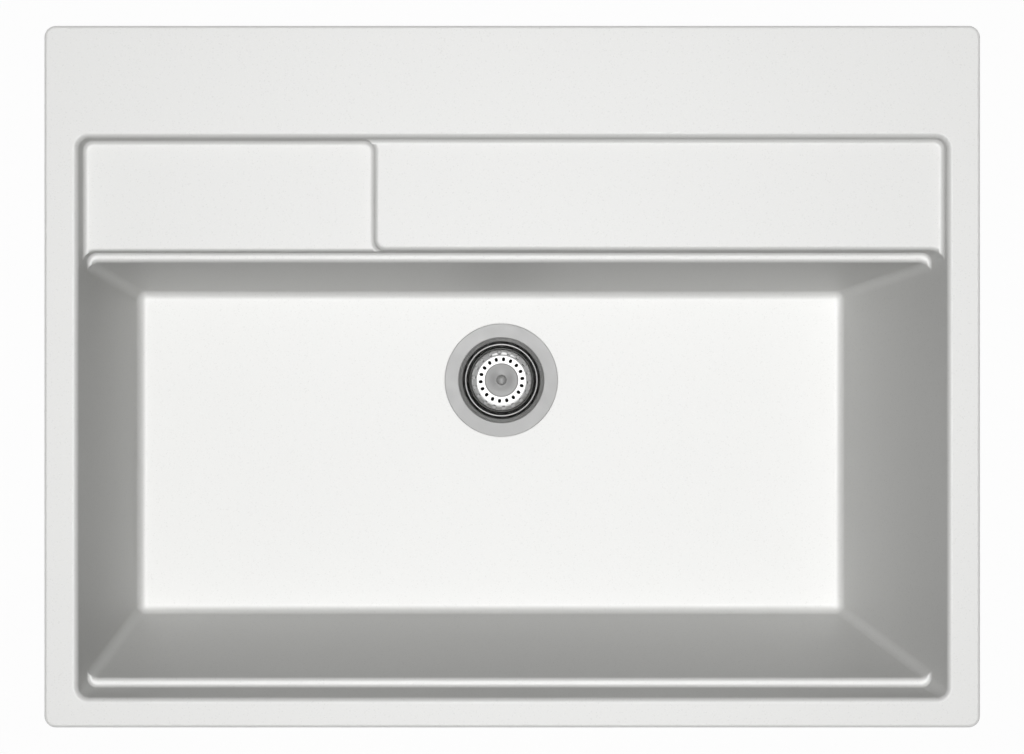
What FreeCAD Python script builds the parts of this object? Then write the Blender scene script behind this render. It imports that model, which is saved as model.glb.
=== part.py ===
"""Inset kitchen sink: one wide bowl, a two-level shelf behind it and a basket strainer waste.

Millimetres.  +X is right, +Y is towards the tap side and +Z is up.  The origin is the centre of the
rim's underside, the plane that rests on the worktop.  Each separate piece is one file in parts/.
"""
import FreeCAD
import Part

import math
import os
from collections import namedtuple

Vector = FreeCAD.Vector
UP = Vector(0, 0, 1)

# --- Rim ------------------------------------------------------------------------------------------
rim_length = 800.0
rim_width = 600.0
rim_thickness = 10.0
rim_corner_radius = 10.0
rim_edge_radius = 3.0
rim_overlap = 10.0              # rim that covers the worktop beyond the cut-out's edge

# --- Width of the deck around the basin, at the deck's own level ----------------------------------
left_deck = 28.9
right_deck = 27.5
front_deck = 25.3
tap_deck = 95.9                 # the land behind the shelf, where a tap can stand

# --- Depths below the deck ------------------------------------------------------------------------
right_shelf_depth = 9.0
left_shelf_depth = 18.0
ledge_depth = 30.0              # narrow ledges in front of the shelf and at the front wall
bowl_depth = 200.0

# --- Plan sizes inside the basin ------------------------------------------------------------------
shelf_width = 95.4              # from the shelf's rear wall to its front
left_shelf_length = 252.6
rear_ledge = 8.9
front_ledge = 7.3

# --- Draft of the walls, in degrees from upright --------------------------------------------------
left_draft = 1.2
right_draft = 13.8
front_draft = 10.8
rear_draft = 5.6
upper_front_draft = 7.7
shelf_draft = 1.0

# --- Roundings of the basin -----------------------------------------------------------------------
deck_edge_radius = 4.5
right_shelf_edge_radius = 4.0
left_shelf_edge_radius = 3.0
ledge_edge_radius = 4.0
shelf_foot_radius = 4.3
ledge_foot_radius = 3.5
basin_corner_radius = 9.0
shelf_step_radius = 9.5         # plan radius where the two shelf levels meet
bowl_corner_radius = 9.2
bowl_floor_radius = 8.8

# --- Thickness of the moulding --------------------------------------------------------------------
wall_thickness = 8.0
floor_thickness = 9.0
shell_foot_radius = 14.0        # rounding under the bowl's floor

# --- Blank for a tap hole, sunk into the tap land from below --------------------------------------
tap_blank_radius = 17.5
tap_blank_skin = 3.0            # what is left to knock out
tap_blank_x = 0.0

# --- Foam strip under the rim ---------------------------------------------------------------------
strip_width = 6.0
strip_thickness = 1.5
strip_inset = 2.5               # from the rim's outer edge
soft_clearance = 0.3

# --- Waste hole in the bowl's floor ---------------------------------------------------------------
drain_x = -10.7
drain_y = -3.4
drain_hole_radius = 45.5
drain_recess_depth = 1.6
drain_recess_clearance = 0.8

# --- Strainer cup, pressed from sheet -------------------------------------------------------------
flange_radius = 55.5
flange_bevel = 0.8
cup_sheet = 1.2
cup_mouth_radius = 42.0
cup_radius = 37.6
cup_cone_depth = 10.0
cup_depth = 38.0
cup_foot_radius = 4.0
cup_waist_radius = 4.0
cup_lip_radius = 1.1
cup_port_outer = 22.0
cup_port_inner = 11.0
cup_arm_width = 6.0
cup_arm_count = 4
seal_ring_inner = 46.5
seal_ring_outer = 54.0
flange_seal_thickness = 1.0
body_seal_thickness = 1.5

# --- Waste body under the floor -------------------------------------------------------------------
body_flange_radius = 56.0
body_flange_thickness = 4.0
body_wall = 3.0
body_radius = 42.0              # inside
body_depth = 34.0               # straight part, from the flange's top
body_cone_depth = 14.0
outlet_bore_radius = 20.0
outlet_thread_radius = 23.9
outlet_length = 26.0
hub_radius = 10.0
hub_length = 20.0
hub_drop = 14.0                 # from the cup's underside to the hub's top
rib_width = 3.5
rib_count = 4

# --- Centre bolt and its insert -------------------------------------------------------------------
bolt_radius = 5.0
bolt_head_radius = 8.0
bolt_head_height = 3.0
bolt_head_rounding = 0.8
bolt_bore_radius = 4.0
bolt_bore_depth = 22.0
bolt_clearance = 0.3
insert_radius = 7.0
insert_length = 10.0
thread_fit = 0.05               # radial play between a screw and its thread

# --- Basket ---------------------------------------------------------------------------------------
basket_sheet = 0.8
basket_radius = 35.6
basket_rim_bead = 0.8
basket_rim_drop = 9.5           # from the bowl's floor down to the basket's rim
basket_wall_radius = 34.4       # at the base, before its rounding
basket_foot_rounding = 11.0
basket_seal_thickness = 4.0
basket_seal_inner = 12.0
basket_seal_outer = 26.5
seat_gap = 0.2
hole_ring_radius = 20.9
hole_count = 18
hole_phase = 4.5                # degrees from +X to the first hole
hole_width = 3.4
hole_length = 4.2
foot_hole_width = 4.4           # holes in the rounded foot, half a step from those in the base
foot_hole_tilt = 22.0           # degrees from straight down
plate_radius = 16.85
plate_height = 7.0              # from the basket's base to the top of the plate's rim
plate_sheet = 1.2
plate_dish = 1.6
plate_edge_width = 1.0          # bevel around the plate's rim
plate_edge_drop = 0.4
spacer_radius = 5.0
knob_radius = 5.3
knob_height = 3.2
knob_side_height = 0.8          # upright side below the dome
stem_radius = 2.5
stem_shoulder_radius = 5.0
stem_shoulder_height = 1.0
stem_length = 18.0              # below the basket's base
clip_wall = 1.2
clip_length = 8.0
clip_slot = 1.5
stem_end = 2.0                  # stem that shows below the clip

# --- Outlet nut, washer and tail pipe -------------------------------------------------------------
outlet_seal_thickness = 2.0
pipe_radius = 20.0
pipe_wall = 1.8
pipe_length = 80.0
pipe_collar_radius = 23.4
pipe_collar_thickness = 2.5
pipe_neck_radius = 21.0         # where the pipe passes the nut
pipe_neck_run = 1.0             # neck that shows below the nut
nut_wall = 4.0
nut_thread_length = 16.0
nut_lip = 3.0
nut_grip_count = 8
nut_grip_radius = 3.0
nut_thread_play = 0.1

# --- Clamps around the cut-out --------------------------------------------------------------------
worktop_thickness = 38.0        # the claws stand closed on a worktop of this thickness
long_side_spacing = 440.0
short_side_spacing = 300.0
clamp_inset = 6.0               # screw axis, in from the cut-out's edge
post_length = 44.0
post_half_width = 7.0
post_face_inset = 1.0           # post's outer face, in from the cut-out's edge
post_root = 8.0                 # post's reach behind the screw axis
post_rounding = 2.0
clamp_insert_radius = 3.0
clamp_insert_length = 10.0
screw_radius = 2.0
screw_length = 40.0
screw_head_radius = 3.75
screw_head_height = 2.8
screw_head_rounding = 1.0
screw_end_chamfer = 0.5
screw_recess_width = 1.0
screw_recess_length = 4.4
screw_recess_depth = 1.6
screw_travel = 12.0             # up and down from rest
screw_run_out = 2.5             # hole left above the screw at the top of its travel
washer_radius = 4.5
washer_thickness = 1.0
loose_fit = 0.3                 # radial play of the washer and the claw on the screw
claw_width = 9.0
claw_sheet = 2.5
claw_heel = 4.5
claw_reach = 9.5                # from the screw axis to the upright leg
claw_leg_height = 24.0
claw_tip_length = 5.5           # with the leg, kept inside the rim's outline
claw_bend_radius = 3.0
claw_heel_rounding = 3.5
claw_tooth = 0.6
claw_tooth_count = 2

# --- Levels and places that follow from the sizes above -------------------------------------------
deck_z = rim_thickness
right_shelf_z = deck_z - right_shelf_depth
left_shelf_z = deck_z - left_shelf_depth
ledge_z = deck_z - ledge_depth
floor_z = deck_z - bowl_depth
floor_underside_z = floor_z - floor_thickness
above_deck = deck_z + 20.0      # height to which the cutting shapes are run out
mouth_depth = 0.1 + max(
    deck_edge_radius, right_shelf_edge_radius, left_shelf_edge_radius, ledge_edge_radius
)

flange_underside_z = floor_z - drain_recess_depth + flange_seal_thickness
flange_top_z = flange_underside_z + cup_sheet
cup_floor_z = flange_top_z - cup_depth
cup_underside_z = cup_floor_z - cup_sheet
body_top_z = floor_underside_z - body_seal_thickness
body_shoulder_z = body_top_z - body_depth
body_throat_z = body_shoulder_z - body_cone_depth
outlet_end_z = body_throat_z - outlet_length
hub_top_z = cup_underside_z - hub_drop
hub_bottom_z = hub_top_z - hub_length
basket_base_z = cup_floor_z + seat_gap + basket_seal_thickness
basket_rim_z = floor_z - basket_rim_drop
plate_top_z = basket_base_z + basket_sheet + plate_height
pipe_top_z = outlet_end_z - outlet_seal_thickness
pipe_collar_end_z = pipe_top_z - pipe_collar_thickness

cutout_half_length = rim_length / 2 - rim_overlap
cutout_half_width = rim_width / 2 - rim_overlap
claw_top_z = -worktop_thickness - claw_leg_height
washer_top_z = claw_top_z - claw_sheet
screw_head_z = washer_top_z - washer_thickness
screw_top_z = screw_head_z + screw_length

# A wall is where its face meets the deck's level and how far it moves inwards per millimetre of depth.
Wall = namedtuple("Wall", "place slope")


def drafted(place, degrees):
    """A wall at this place with this draft."""
    return Wall(place, math.tan(math.radians(degrees)))


left_wall = drafted(-rim_length / 2 + left_deck, left_draft)
right_wall = drafted(rim_length / 2 - right_deck, right_draft)
upper_front_wall = drafted(-rim_width / 2 + front_deck, upper_front_draft)
shelf_rear_wall = drafted(rim_width / 2 - tap_deck, shelf_draft)
shelf_front_wall = drafted(shelf_rear_wall.place - shelf_width, shelf_draft)
shelf_step_wall = drafted(left_wall.place + left_shelf_length, shelf_draft)
ledge_slope = math.tan(math.radians(rear_draft))
lower_rear_wall = drafted(shelf_front_wall.place - rear_ledge + ledge_slope * ledge_depth, rear_draft)
front_slope = math.tan(math.radians(front_draft))
front_ledge_place = upper_front_wall.place + upper_front_wall.slope * ledge_depth + front_ledge
lower_front_wall = drafted(front_ledge_place - front_slope * ledge_depth, front_draft)


# --- Small helpers --------------------------------------------------------------------------------
def wall_line(wall, z, outward, grow):
    """Where a wall's face is at height z; outward is +1 or -1, grow moves it out along its normal."""
    inwards = wall.slope * (deck_z - z)
    return wall.place - outward * inwards + outward * grow * math.hypot(1.0, wall.slope)


def frustum(left, right, front, rear, low, high, grow=0.0):
    """The space between four drafted walls and two levels, with sharp edges."""
    rings = []
    for z in (low, high):
        x0 = wall_line(left, z, -1, grow)
        x1 = wall_line(right, z, 1, grow)
        y0 = wall_line(front, z, -1, grow)
        y1 = wall_line(rear, z, 1, grow)
        rings.append([Vector(x0, y0, z), Vector(x1, y0, z), Vector(x1, y1, z), Vector(x0, y1, z)])
    bottom, top = rings
    outlines = [bottom[::-1], top]
    for i in range(4):
        j = (i + 1) % 4
        outlines.append([bottom[i], bottom[j], top[j], top[i]])
    faces = [Part.Face(Part.makePolygon(outline + outline[:1])) for outline in outlines]
    return Part.Solid(Part.Shell(faces))


def uprights(solid):
    """Edges that join one level to another."""
    return [e for e in solid.Edges if e.BoundBox.ZLength > 1.0]


def upright_near(solid, x, y):
    """The upright edge that stands closest to a point of the plan."""
    return min(uprights(solid), key=lambda e: math.hypot(e.CenterOfMass.x - x, e.CenterOfMass.y - y))


def edges_at(solid, z):
    """Edges that lie wholly in one level."""
    return [e for e in solid.Edges if abs(e.BoundBox.ZMin - z) < 0.001 and abs(e.BoundBox.ZMax - z) < 0.001]


def rings_at(solid, radius, z):
    """Circular edges of this radius at this height."""
    return [
        e
        for e in edges_at(solid, z)
        if isinstance(e.Curve, Part.Circle) and abs(e.Curve.Radius - radius) < 0.001
    ]


def rounded_block(half_x, half_y, low, high, radius):
    """An upright block, centred on the origin, with rounded corners."""
    block = Part.makeBox(2 * half_x, 2 * half_y, high - low, Vector(-half_x, -half_y, low))
    return block.makeFillet(radius, uprights(block))


def disc(radius, low, high, x=0.0, y=0.0):
    """An upright cylinder."""
    return Part.makeCylinder(radius, high - low, Vector(x, y, low), UP)


def tube(outer, inner, low, high):
    """An upright tube on the Z axis."""
    return disc(outer, low, high).cut(disc(inner, low, high))


def turned(points):
    """The solid turned about the Z axis from an outline of (radius, z) points."""
    corners = [Vector(radius, 0, z) for radius, z in points]
    face = Part.Face(Part.makePolygon(corners + corners[:1]))
    solid = face.revolve(Vector(0, 0, 0), UP, 360)
    return solid if solid.Volume > 0 else solid.reversed()


def pressed(space, top_z, sheet):
    """Sheet around a space that is open at the top; a negative thickness lies inside the space."""
    top = [f for f in space.Faces if abs(f.BoundBox.ZMin - top_z) < 0.001]
    return space.makeThickness(top, sheet, 0.0001)


def around(shape, count):
    """Copies of a shape, evenly spaced about the Z axis."""
    return [shape.rotated(Vector(0, 0, 0), UP, 360.0 * i / count) for i in range(count)]


def at_drain(shape):
    """A shape made on the Z axis, moved to the waste hole."""
    return shape.translated(Vector(drain_x, drain_y, 0))


# --- Basin: one cutting shape per level -----------------------------------------------------------
def bowl_space(low, high):
    """The bowl below the ledges."""
    space = frustum(left_wall, right_wall, lower_front_wall, lower_rear_wall, low, high)
    return space.makeFillet(bowl_corner_radius, uprights(space))


def ledge_space(low):
    """The space above the ledges, in front of the shelf."""
    space = frustum(left_wall, right_wall, upper_front_wall, shelf_front_wall, low, above_deck)
    return space.makeFillet(basin_corner_radius, uprights(space))


def left_shelf_space(low):
    """The space above the lower, left shelf, joined to that in front of the shelf."""
    front = frustum(left_wall, right_wall, upper_front_wall, shelf_front_wall, low, above_deck)
    behind = frustum(left_wall, shelf_step_wall, upper_front_wall, shelf_rear_wall, low, above_deck)
    space = front.fuse(behind).removeSplitter()
    step_corners = [
        upright_near(space, shelf_step_wall.place, shelf_rear_wall.place),
        upright_near(space, shelf_step_wall.place, shelf_front_wall.place),
    ]
    space = space.makeFillet(shelf_step_radius, step_corners)
    outer_corners = [
        upright_near(space, left_wall.place, shelf_rear_wall.place),
        upright_near(space, left_wall.place, upper_front_wall.place),
        upright_near(space, right_wall.place, upper_front_wall.place),
        upright_near(space, right_wall.place, shelf_front_wall.place),
    ]
    return space.makeFillet(basin_corner_radius, outer_corners)


def basin_space(low):
    """The whole basin as seen from above, down to the higher, right shelf."""
    space = frustum(left_wall, right_wall, upper_front_wall, shelf_rear_wall, low, above_deck)
    return space.makeFillet(basin_corner_radius, uprights(space))


def rounded_mouth(space, z, radius):
    """What rounding the edge where a space opens at level z takes away, with the space itself."""
    reach = 50.0
    corner = Vector(-rim_length / 2 - reach, -rim_width / 2 - reach, z - mouth_depth)
    slab = Part.makeBox(rim_length + 2 * reach, rim_width + 2 * reach, mouth_depth, corner)
    around_space = slab.cut(space)
    mouth = [e for e in edges_at(around_space, z) if abs(e.CenterOfMass.x) < rim_length / 2]
    mouth = [e for e in mouth if abs(e.CenterOfMass.y) < rim_width / 2]
    return slab.cut(around_space.makeFillet(radius, mouth))


def basin():
    """Everything that is hollow above the moulding, with each level's edge and foot rounded.

    An edge is rounded only as far as the level above it is open, so that the ledges and shelves
    run out against the side walls.
    """
    bowl = bowl_space(floor_z, ledge_z + ledge_edge_radius)
    ledge = ledge_space(ledge_z)
    left_shelf = left_shelf_space(left_shelf_z)
    right_shelf = basin_space(right_shelf_z)
    above_ledge = ledge_space(ledge_z - mouth_depth)
    above_left_shelf = left_shelf_space(left_shelf_z - mouth_depth)
    above_right_shelf = basin_space(right_shelf_z - mouth_depth)
    pieces = [
        rounded_mouth(bowl, ledge_z, ledge_edge_radius).common(above_ledge),
        ledge.makeFillet(ledge_foot_radius, edges_at(ledge, ledge_z)),
        rounded_mouth(ledge, left_shelf_z, left_shelf_edge_radius).common(above_left_shelf),
        left_shelf.makeFillet(shelf_foot_radius, edges_at(left_shelf, left_shelf_z)),
        rounded_mouth(left_shelf, right_shelf_z, right_shelf_edge_radius).common(above_right_shelf),
        right_shelf.makeFillet(shelf_foot_radius, edges_at(right_shelf, right_shelf_z)),
        rounded_mouth(right_shelf, deck_z, deck_edge_radius),
    ]
    space = bowl.makeFillet(bowl_floor_radius, edges_at(bowl, floor_z))
    for piece in pieces:
        space = space.fuse(piece)
    return space.removeSplitter()


# --- Clamp places -----------------------------------------------------------------------------------
# A clamp's screw axis, the turn from +X to its outward side and how far its post reaches inwards.
Clamp = namedtuple("Clamp", "x y turn root")


def clamp_places():
    """The clamps, two along each side.  A post with a wall behind it runs back into that wall."""
    x = cutout_half_length - clamp_inset
    y = cutout_half_width - clamp_inset
    along = long_side_spacing / 2
    across = short_side_spacing / 2
    middle = wall_thickness / 2
    front_root = max(post_root, y + wall_line(lower_front_wall, -post_length, -1, middle))
    right_root = max(post_root, x - wall_line(right_wall, -post_length, 1, middle))
    left_root = max(post_root, x + wall_line(left_wall, -post_length, -1, middle))
    return [
        Clamp(-along, -y, 270.0, front_root),
        Clamp(along, -y, 270.0, front_root),
        Clamp(x, -across, 0.0, right_root),
        Clamp(x, across, 0.0, right_root),
        Clamp(along, y, 90.0, post_root),
        Clamp(-along, y, 90.0, post_root),
        Clamp(-x, across, 180.0, left_root),
        Clamp(-x, -across, 180.0, left_root),
    ]


def at_clamp(shape, place):
    """A shape made with its screw on the Z axis and outwards along +X, moved to a clamp's place."""
    return shape.rotated(Vector(0, 0, 0), UP, place.turn).translated(Vector(place.x, place.y, 0))


def clamp_post(place):
    """Post moulded under the rim for one clamp."""
    length = place.root + clamp_inset - post_face_inset
    height = post_length + rim_thickness / 2
    corner = Vector(-place.root, -post_half_width, -post_length)
    post = Part.makeBox(length, 2 * post_half_width, height, corner)
    return at_clamp(post.makeFillet(post_rounding, uprights(post)), place)


# --- Moulded sink ---------------------------------------------------------------------------------
def shell():
    """The moulding's outside: the rim plate and the bowl's and shelves' undersides."""
    rim = rounded_block(rim_length / 2, rim_width / 2, 0.0, deck_z, rim_corner_radius)
    rim = rim.makeFillet(rim_edge_radius, edges_at(rim, deck_z))
    corner = basin_corner_radius + wall_thickness
    bowl = frustum(
        left_wall, right_wall, lower_front_wall, lower_rear_wall, floor_underside_z, 0.0, wall_thickness
    )
    bowl = bowl.makeFillet(corner, uprights(bowl))
    bowl = bowl.makeFillet(shell_foot_radius, edges_at(bowl, floor_underside_z))
    levels = [
        (right_wall, shelf_front_wall, ledge_z),
        (shelf_step_wall, shelf_rear_wall, left_shelf_z),
        (right_wall, shelf_rear_wall, right_shelf_z),
    ]
    solid = rim.fuse(bowl)
    for side, back, level in levels:
        block = frustum(
            left_wall, side, upper_front_wall, back, level - wall_thickness, deck_z / 2, wall_thickness
        )
        solid = solid.fuse(block.makeFillet(corner, uprights(block)))
    return solid


def sink_body():
    """The moulded sink, with its waste hole, strip groove, clamp posts and blank tap hole."""
    solid = shell()
    for place in clamp_places():
        solid = solid.fuse(clamp_post(place))
    solid = solid.removeSplitter()
    solid = solid.cut(basin())
    recess_floor_z = floor_z - drain_recess_depth
    recess_radius = flange_radius + drain_recess_clearance
    solid = solid.cut(disc(recess_radius, recess_floor_z, floor_z + 1.0, drain_x, drain_y))
    solid = solid.cut(disc(drain_hole_radius, floor_underside_z - 1.0, floor_z, drain_x, drain_y))
    solid = solid.cut(strip(soft_clearance))
    tap_y = rim_width / 2 - tap_deck / 2
    solid = solid.cut(disc(tap_blank_radius, -1.0, deck_z - tap_blank_skin, tap_blank_x, tap_y))
    hole_top_z = screw_top_z + screw_travel + screw_run_out
    for place in clamp_places():
        seat = disc(clamp_insert_radius, -post_length - 1.0, -post_length + clamp_insert_length)
        run = disc(screw_radius + loose_fit, -post_length, hole_top_z)
        solid = solid.cut(at_clamp(seat.fuse(run), place))
    return solid


def strip(clearance):
    """The foam strip's ring under the rim, or with a clearance the groove that holds it."""
    outer_x = rim_length / 2 - strip_inset + clearance
    outer_y = rim_width / 2 - strip_inset + clearance
    width = strip_width + 2 * clearance
    radius = rim_corner_radius - strip_inset + clearance
    low = -1.0 if clearance else 0.0
    high = strip_thickness + clearance
    outside = rounded_block(outer_x, outer_y, low, high, radius)
    inside = rounded_block(outer_x - width, outer_y - width, low, high, max(radius - width, 0.5))
    return outside.cut(inside)


# --- Waste set ------------------------------------------------------------------------------------
def strainer_cup():
    """Flange and cup pressed from one sheet, with ports and a centre hole in its floor."""
    cone_z = flange_top_z - cup_cone_depth
    space = turned(
        [
            (0.0, cup_floor_z),
            (cup_radius, cup_floor_z),
            (cup_radius, cone_z),
            (cup_mouth_radius, flange_top_z),
            (0.0, flange_top_z),
        ]
    )
    space = space.makeFillet(cup_foot_radius, rings_at(space, cup_radius, cup_floor_z))
    space = space.makeFillet(cup_waist_radius, rings_at(space, cup_radius, cone_z))
    cup = pressed(space, flange_top_z, cup_sheet)
    cup = cup.fuse(tube(flange_radius, cup_mouth_radius, flange_underside_z, flange_top_z)).removeSplitter()
    cup = cup.makeFillet(cup_lip_radius, rings_at(cup, cup_mouth_radius, flange_top_z))
    cup = cup.makeChamfer(flange_bevel, rings_at(cup, flange_radius, flange_top_z))
    cup = cup.cut(disc(bolt_radius + bolt_clearance, cup_underside_z - 1.0, cup_floor_z + 1.0))
    ports = tube(cup_port_outer, cup_port_inner, cup_underside_z - 1.0, cup_floor_z + 1.0)
    corner = Vector(0, -cup_arm_width / 2, cup_underside_z - 1.5)
    arm = Part.makeBox(cup_port_outer + 1.0, cup_arm_width, cup_sheet + 3.0, corner)
    for bar in around(arm, cup_arm_count):
        ports = ports.cut(bar)
    return at_drain(cup.cut(ports))


def flange_seal():
    """Rubber ring between the flange and the bowl's floor."""
    low = floor_z - drain_recess_depth
    return at_drain(tube(seal_ring_outer, seal_ring_inner, low, flange_underside_z))


def body_seal():
    """Rubber ring between the bowl's underside and the waste body."""
    return at_drain(tube(seal_ring_outer, seal_ring_inner, body_top_z, floor_underside_z))


def waste_body():
    """Moulded body under the floor: flange, funnel, threaded outlet and a ribbed hub for the bolt."""
    flange_low = body_top_z - body_flange_thickness
    outer = turned(
        [
            (0.0, body_top_z),
            (body_flange_radius, body_top_z),
            (body_flange_radius, flange_low),
            (body_radius + body_wall, flange_low),
            (body_radius + body_wall, body_shoulder_z - body_wall / 2),
            (outlet_thread_radius, body_throat_z - body_wall / 2),
            (outlet_thread_radius, outlet_end_z),
            (0.0, outlet_end_z),
        ]
    )
    inner = turned(
        [
            (0.0, body_top_z),
            (body_radius, body_top_z),
            (body_radius, body_shoulder_z),
            (outlet_bore_radius, body_throat_z),
            (outlet_bore_radius, outlet_end_z),
            (0.0, outlet_end_z),
        ]
    )
    corner = Vector(0, -rib_width / 2, hub_bottom_z)
    web = Part.makeBox(body_radius + body_wall / 2, rib_width, hub_length, corner)
    spider = disc(hub_radius, hub_bottom_z, hub_top_z)
    for rib in around(web, rib_count):
        spider = spider.fuse(rib)
    body = outer.cut(inner).fuse(spider.common(outer)).removeSplitter()
    body = body.cut(disc(bolt_radius + bolt_clearance, hub_bottom_z - 1.0, hub_top_z + 1.0))
    return at_drain(body.cut(disc(insert_radius, hub_bottom_z - 1.0, hub_bottom_z + insert_length)))


def body_insert():
    """Threaded brass insert in the waste body's hub."""
    high = hub_bottom_z + insert_length
    return at_drain(tube(insert_radius, bolt_radius + thread_fit, hub_bottom_z, high))


def centre_bolt():
    """Hollow-headed bolt that draws the cup down on to the waste body."""
    head_top = cup_floor_z + bolt_head_height
    head = disc(bolt_head_radius, cup_floor_z, head_top)
    head = head.makeFillet(bolt_head_rounding, rings_at(head, bolt_head_radius, head_top))
    bolt = head.fuse(disc(bolt_radius, hub_bottom_z, cup_floor_z))
    return at_drain(bolt.cut(disc(bolt_bore_radius, head_top - bolt_bore_depth, head_top + 1.0)))


def basket():
    """Pressed strainer basket with a beaded rim and holes in its base and its rounded foot."""
    low = basket_base_z
    space = turned([(0.0, low), (basket_wall_radius, low), (basket_radius, basket_rim_z), (0.0, basket_rim_z)])
    space = space.makeFillet(basket_foot_rounding, rings_at(space, basket_wall_radius, low))
    shape = pressed(space, basket_rim_z, -basket_sheet)
    bead_radius = basket_radius - basket_sheet / 2
    shape = shape.fuse(Part.makeTorus(bead_radius, basket_rim_bead, Vector(0, 0, basket_rim_z), UP))
    shape = shape.cut(disc(stem_radius + thread_fit, low - 1.0, low + 2.0))
    ends = (hole_length - hole_width) / 2
    inner_end = hole_ring_radius - ends
    slot = disc(hole_width / 2, low - 1.0, low + 2.0, inner_end)
    slot = slot.fuse(disc(hole_width / 2, low - 1.0, low + 2.0, hole_ring_radius + ends))
    slot = slot.fuse(Part.makeBox(2 * ends, hole_width, 3.0, Vector(inner_end, -hole_width / 2, low - 1.0)))
    slot = slot.rotated(Vector(0, 0, 0), UP, hole_phase)
    lean = (basket_radius - basket_wall_radius) / (basket_rim_z - low)
    middle_radius = basket_wall_radius + basket_foot_rounding * (lean - (1 + lean ** 2) ** 0.5)
    middle = Vector(middle_radius, 0, low + basket_foot_rounding)
    drill = disc(foot_hole_width / 2, low - 2.0, low + basket_sheet + 2.0, middle_radius)
    drill = drill.rotated(middle, Vector(0, 1, 0), -foot_hole_tilt)
    drill = drill.rotated(Vector(0, 0, 0), UP, hole_phase + 180.0 / hole_count)
    for hole in around(slot, hole_count) + around(drill, hole_count):
        shape = shape.cut(hole)
    return at_drain(shape)


def basket_plate():
    """Dished grip plate that stands over the basket's base on a spacer."""
    rim_z = plate_top_z
    dish_z = rim_z - plate_dish
    plate = turned(
        [
            (stem_radius + thread_fit, dish_z),
            (knob_radius, dish_z),
            (plate_radius - plate_edge_width, rim_z),
            (plate_radius, rim_z - plate_edge_drop),
            (plate_radius, rim_z - plate_sheet - plate_edge_drop),
            (knob_radius, dish_z - plate_sheet),
            (stem_radius + thread_fit, dish_z - plate_sheet),
        ]
    )
    return at_drain(plate)


def basket_spacer():
    """Tube between the basket's base and its grip plate."""
    low = basket_base_z + basket_sheet
    high = plate_top_z - plate_dish - plate_sheet
    return at_drain(tube(spacer_radius, stem_radius + thread_fit, low, high))


def basket_knob():
    """Domed nut that holds the grip plate on the stem."""
    low = plate_top_z - plate_dish
    knob = disc(knob_radius, low, low + knob_height)
    dome = knob_height - knob_side_height
    knob = knob.makeFillet(dome, rings_at(knob, knob_radius, low + knob_height))
    return at_drain(knob.cut(disc(stem_radius + thread_fit, low - 1.0, low + knob_height / 2)))


def basket_stem():
    """Stem through the basket; its shoulder carries the base and its end enters the bolt."""
    top = plate_top_z - plate_dish + knob_height / 2 - thread_fit
    stem = disc(stem_radius, basket_base_z - stem_length, top)
    shoulder = disc(stem_shoulder_radius, basket_base_z - stem_shoulder_height, basket_base_z)
    return at_drain(stem.fuse(shoulder))


def stem_clip():
    """Split sleeve on the stem's end that grips inside the bolt."""
    low = basket_base_z - stem_length + stem_end
    sleeve = tube(stem_radius + clip_wall, stem_radius + thread_fit, low, low + clip_length)
    corner = Vector(0, -clip_slot / 2, low - 1.0)
    slot = Part.makeBox(stem_radius + clip_wall + 1.0, clip_slot, clip_length + 2.0, corner)
    return at_drain(sleeve.cut(slot))


def basket_seal():
    """Rubber ring under the basket that closes the cup's ports."""
    return at_drain(tube(basket_seal_outer, basket_seal_inner, cup_floor_z + seat_gap, basket_base_z))


def outlet_seal():
    """Flat washer between the outlet and the tail pipe."""
    return at_drain(tube(pipe_collar_radius, outlet_bore_radius, pipe_top_z, outlet_end_z))


def outlet_nut():
    """Union nut with finger grips that holds the tail pipe to the outlet."""
    bore = outlet_thread_radius + nut_thread_play
    outer = bore + nut_wall
    low = pipe_collar_end_z - nut_lip
    high = outlet_end_z + nut_thread_length
    nut = disc(outer, low, high)
    for grip in around(disc(nut_grip_radius, low, high, outer), nut_grip_count):
        nut = nut.fuse(grip)
    nut = nut.removeSplitter().cut(disc(bore, pipe_collar_end_z, high + 1.0))
    return at_drain(nut.cut(disc(pipe_neck_radius + soft_clearance, low - 1.0, pipe_collar_end_z + 1.0)))


def tail_pipe():
    """Short pipe below the outlet, on which a trap is fitted."""
    low = pipe_top_z - pipe_length
    pipe = disc(pipe_radius, low, pipe_top_z)
    pipe = pipe.fuse(disc(pipe_collar_radius, pipe_collar_end_z, pipe_top_z))
    neck_end_z = pipe_collar_end_z - nut_lip - pipe_neck_run
    pipe = pipe.fuse(disc(pipe_neck_radius, neck_end_z, pipe_collar_end_z))
    return at_drain(pipe.cut(disc(pipe_radius - pipe_wall, low - 1.0, pipe_top_z + 1.0)))


# --- Clamps ---------------------------------------------------------------------------------------
def clamp_insert():
    """Threaded brass insert in the post, made with its axis on Z."""
    low = -post_length
    return tube(clamp_insert_radius, screw_radius + thread_fit, low, low + clamp_insert_length)


def clamp_screw():
    """Screw that stands head down, with a cross recess in its head."""
    low = screw_head_z - screw_head_height
    head = disc(screw_head_radius, low, screw_head_z)
    head = head.makeFillet(screw_head_rounding, rings_at(head, screw_head_radius, low))
    shank = disc(screw_radius, screw_head_z, screw_top_z)
    shank = shank.makeChamfer(screw_end_chamfer, rings_at(shank, screw_radius, screw_top_z))
    half = screw_recess_length / 2
    bar = Part.makeBox(
        screw_recess_length,
        screw_recess_width,
        screw_recess_depth + 1.0,
        Vector(-half, -screw_recess_width / 2, low - 1.0),
    )
    return head.fuse(shank).cut(bar).cut(bar.rotated(Vector(0, 0, 0), UP, 90))


def clamp_washer():
    """Washer between the screw's head and the claw."""
    return tube(washer_radius, screw_radius + loose_fit, screw_head_z, washer_top_z)


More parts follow.
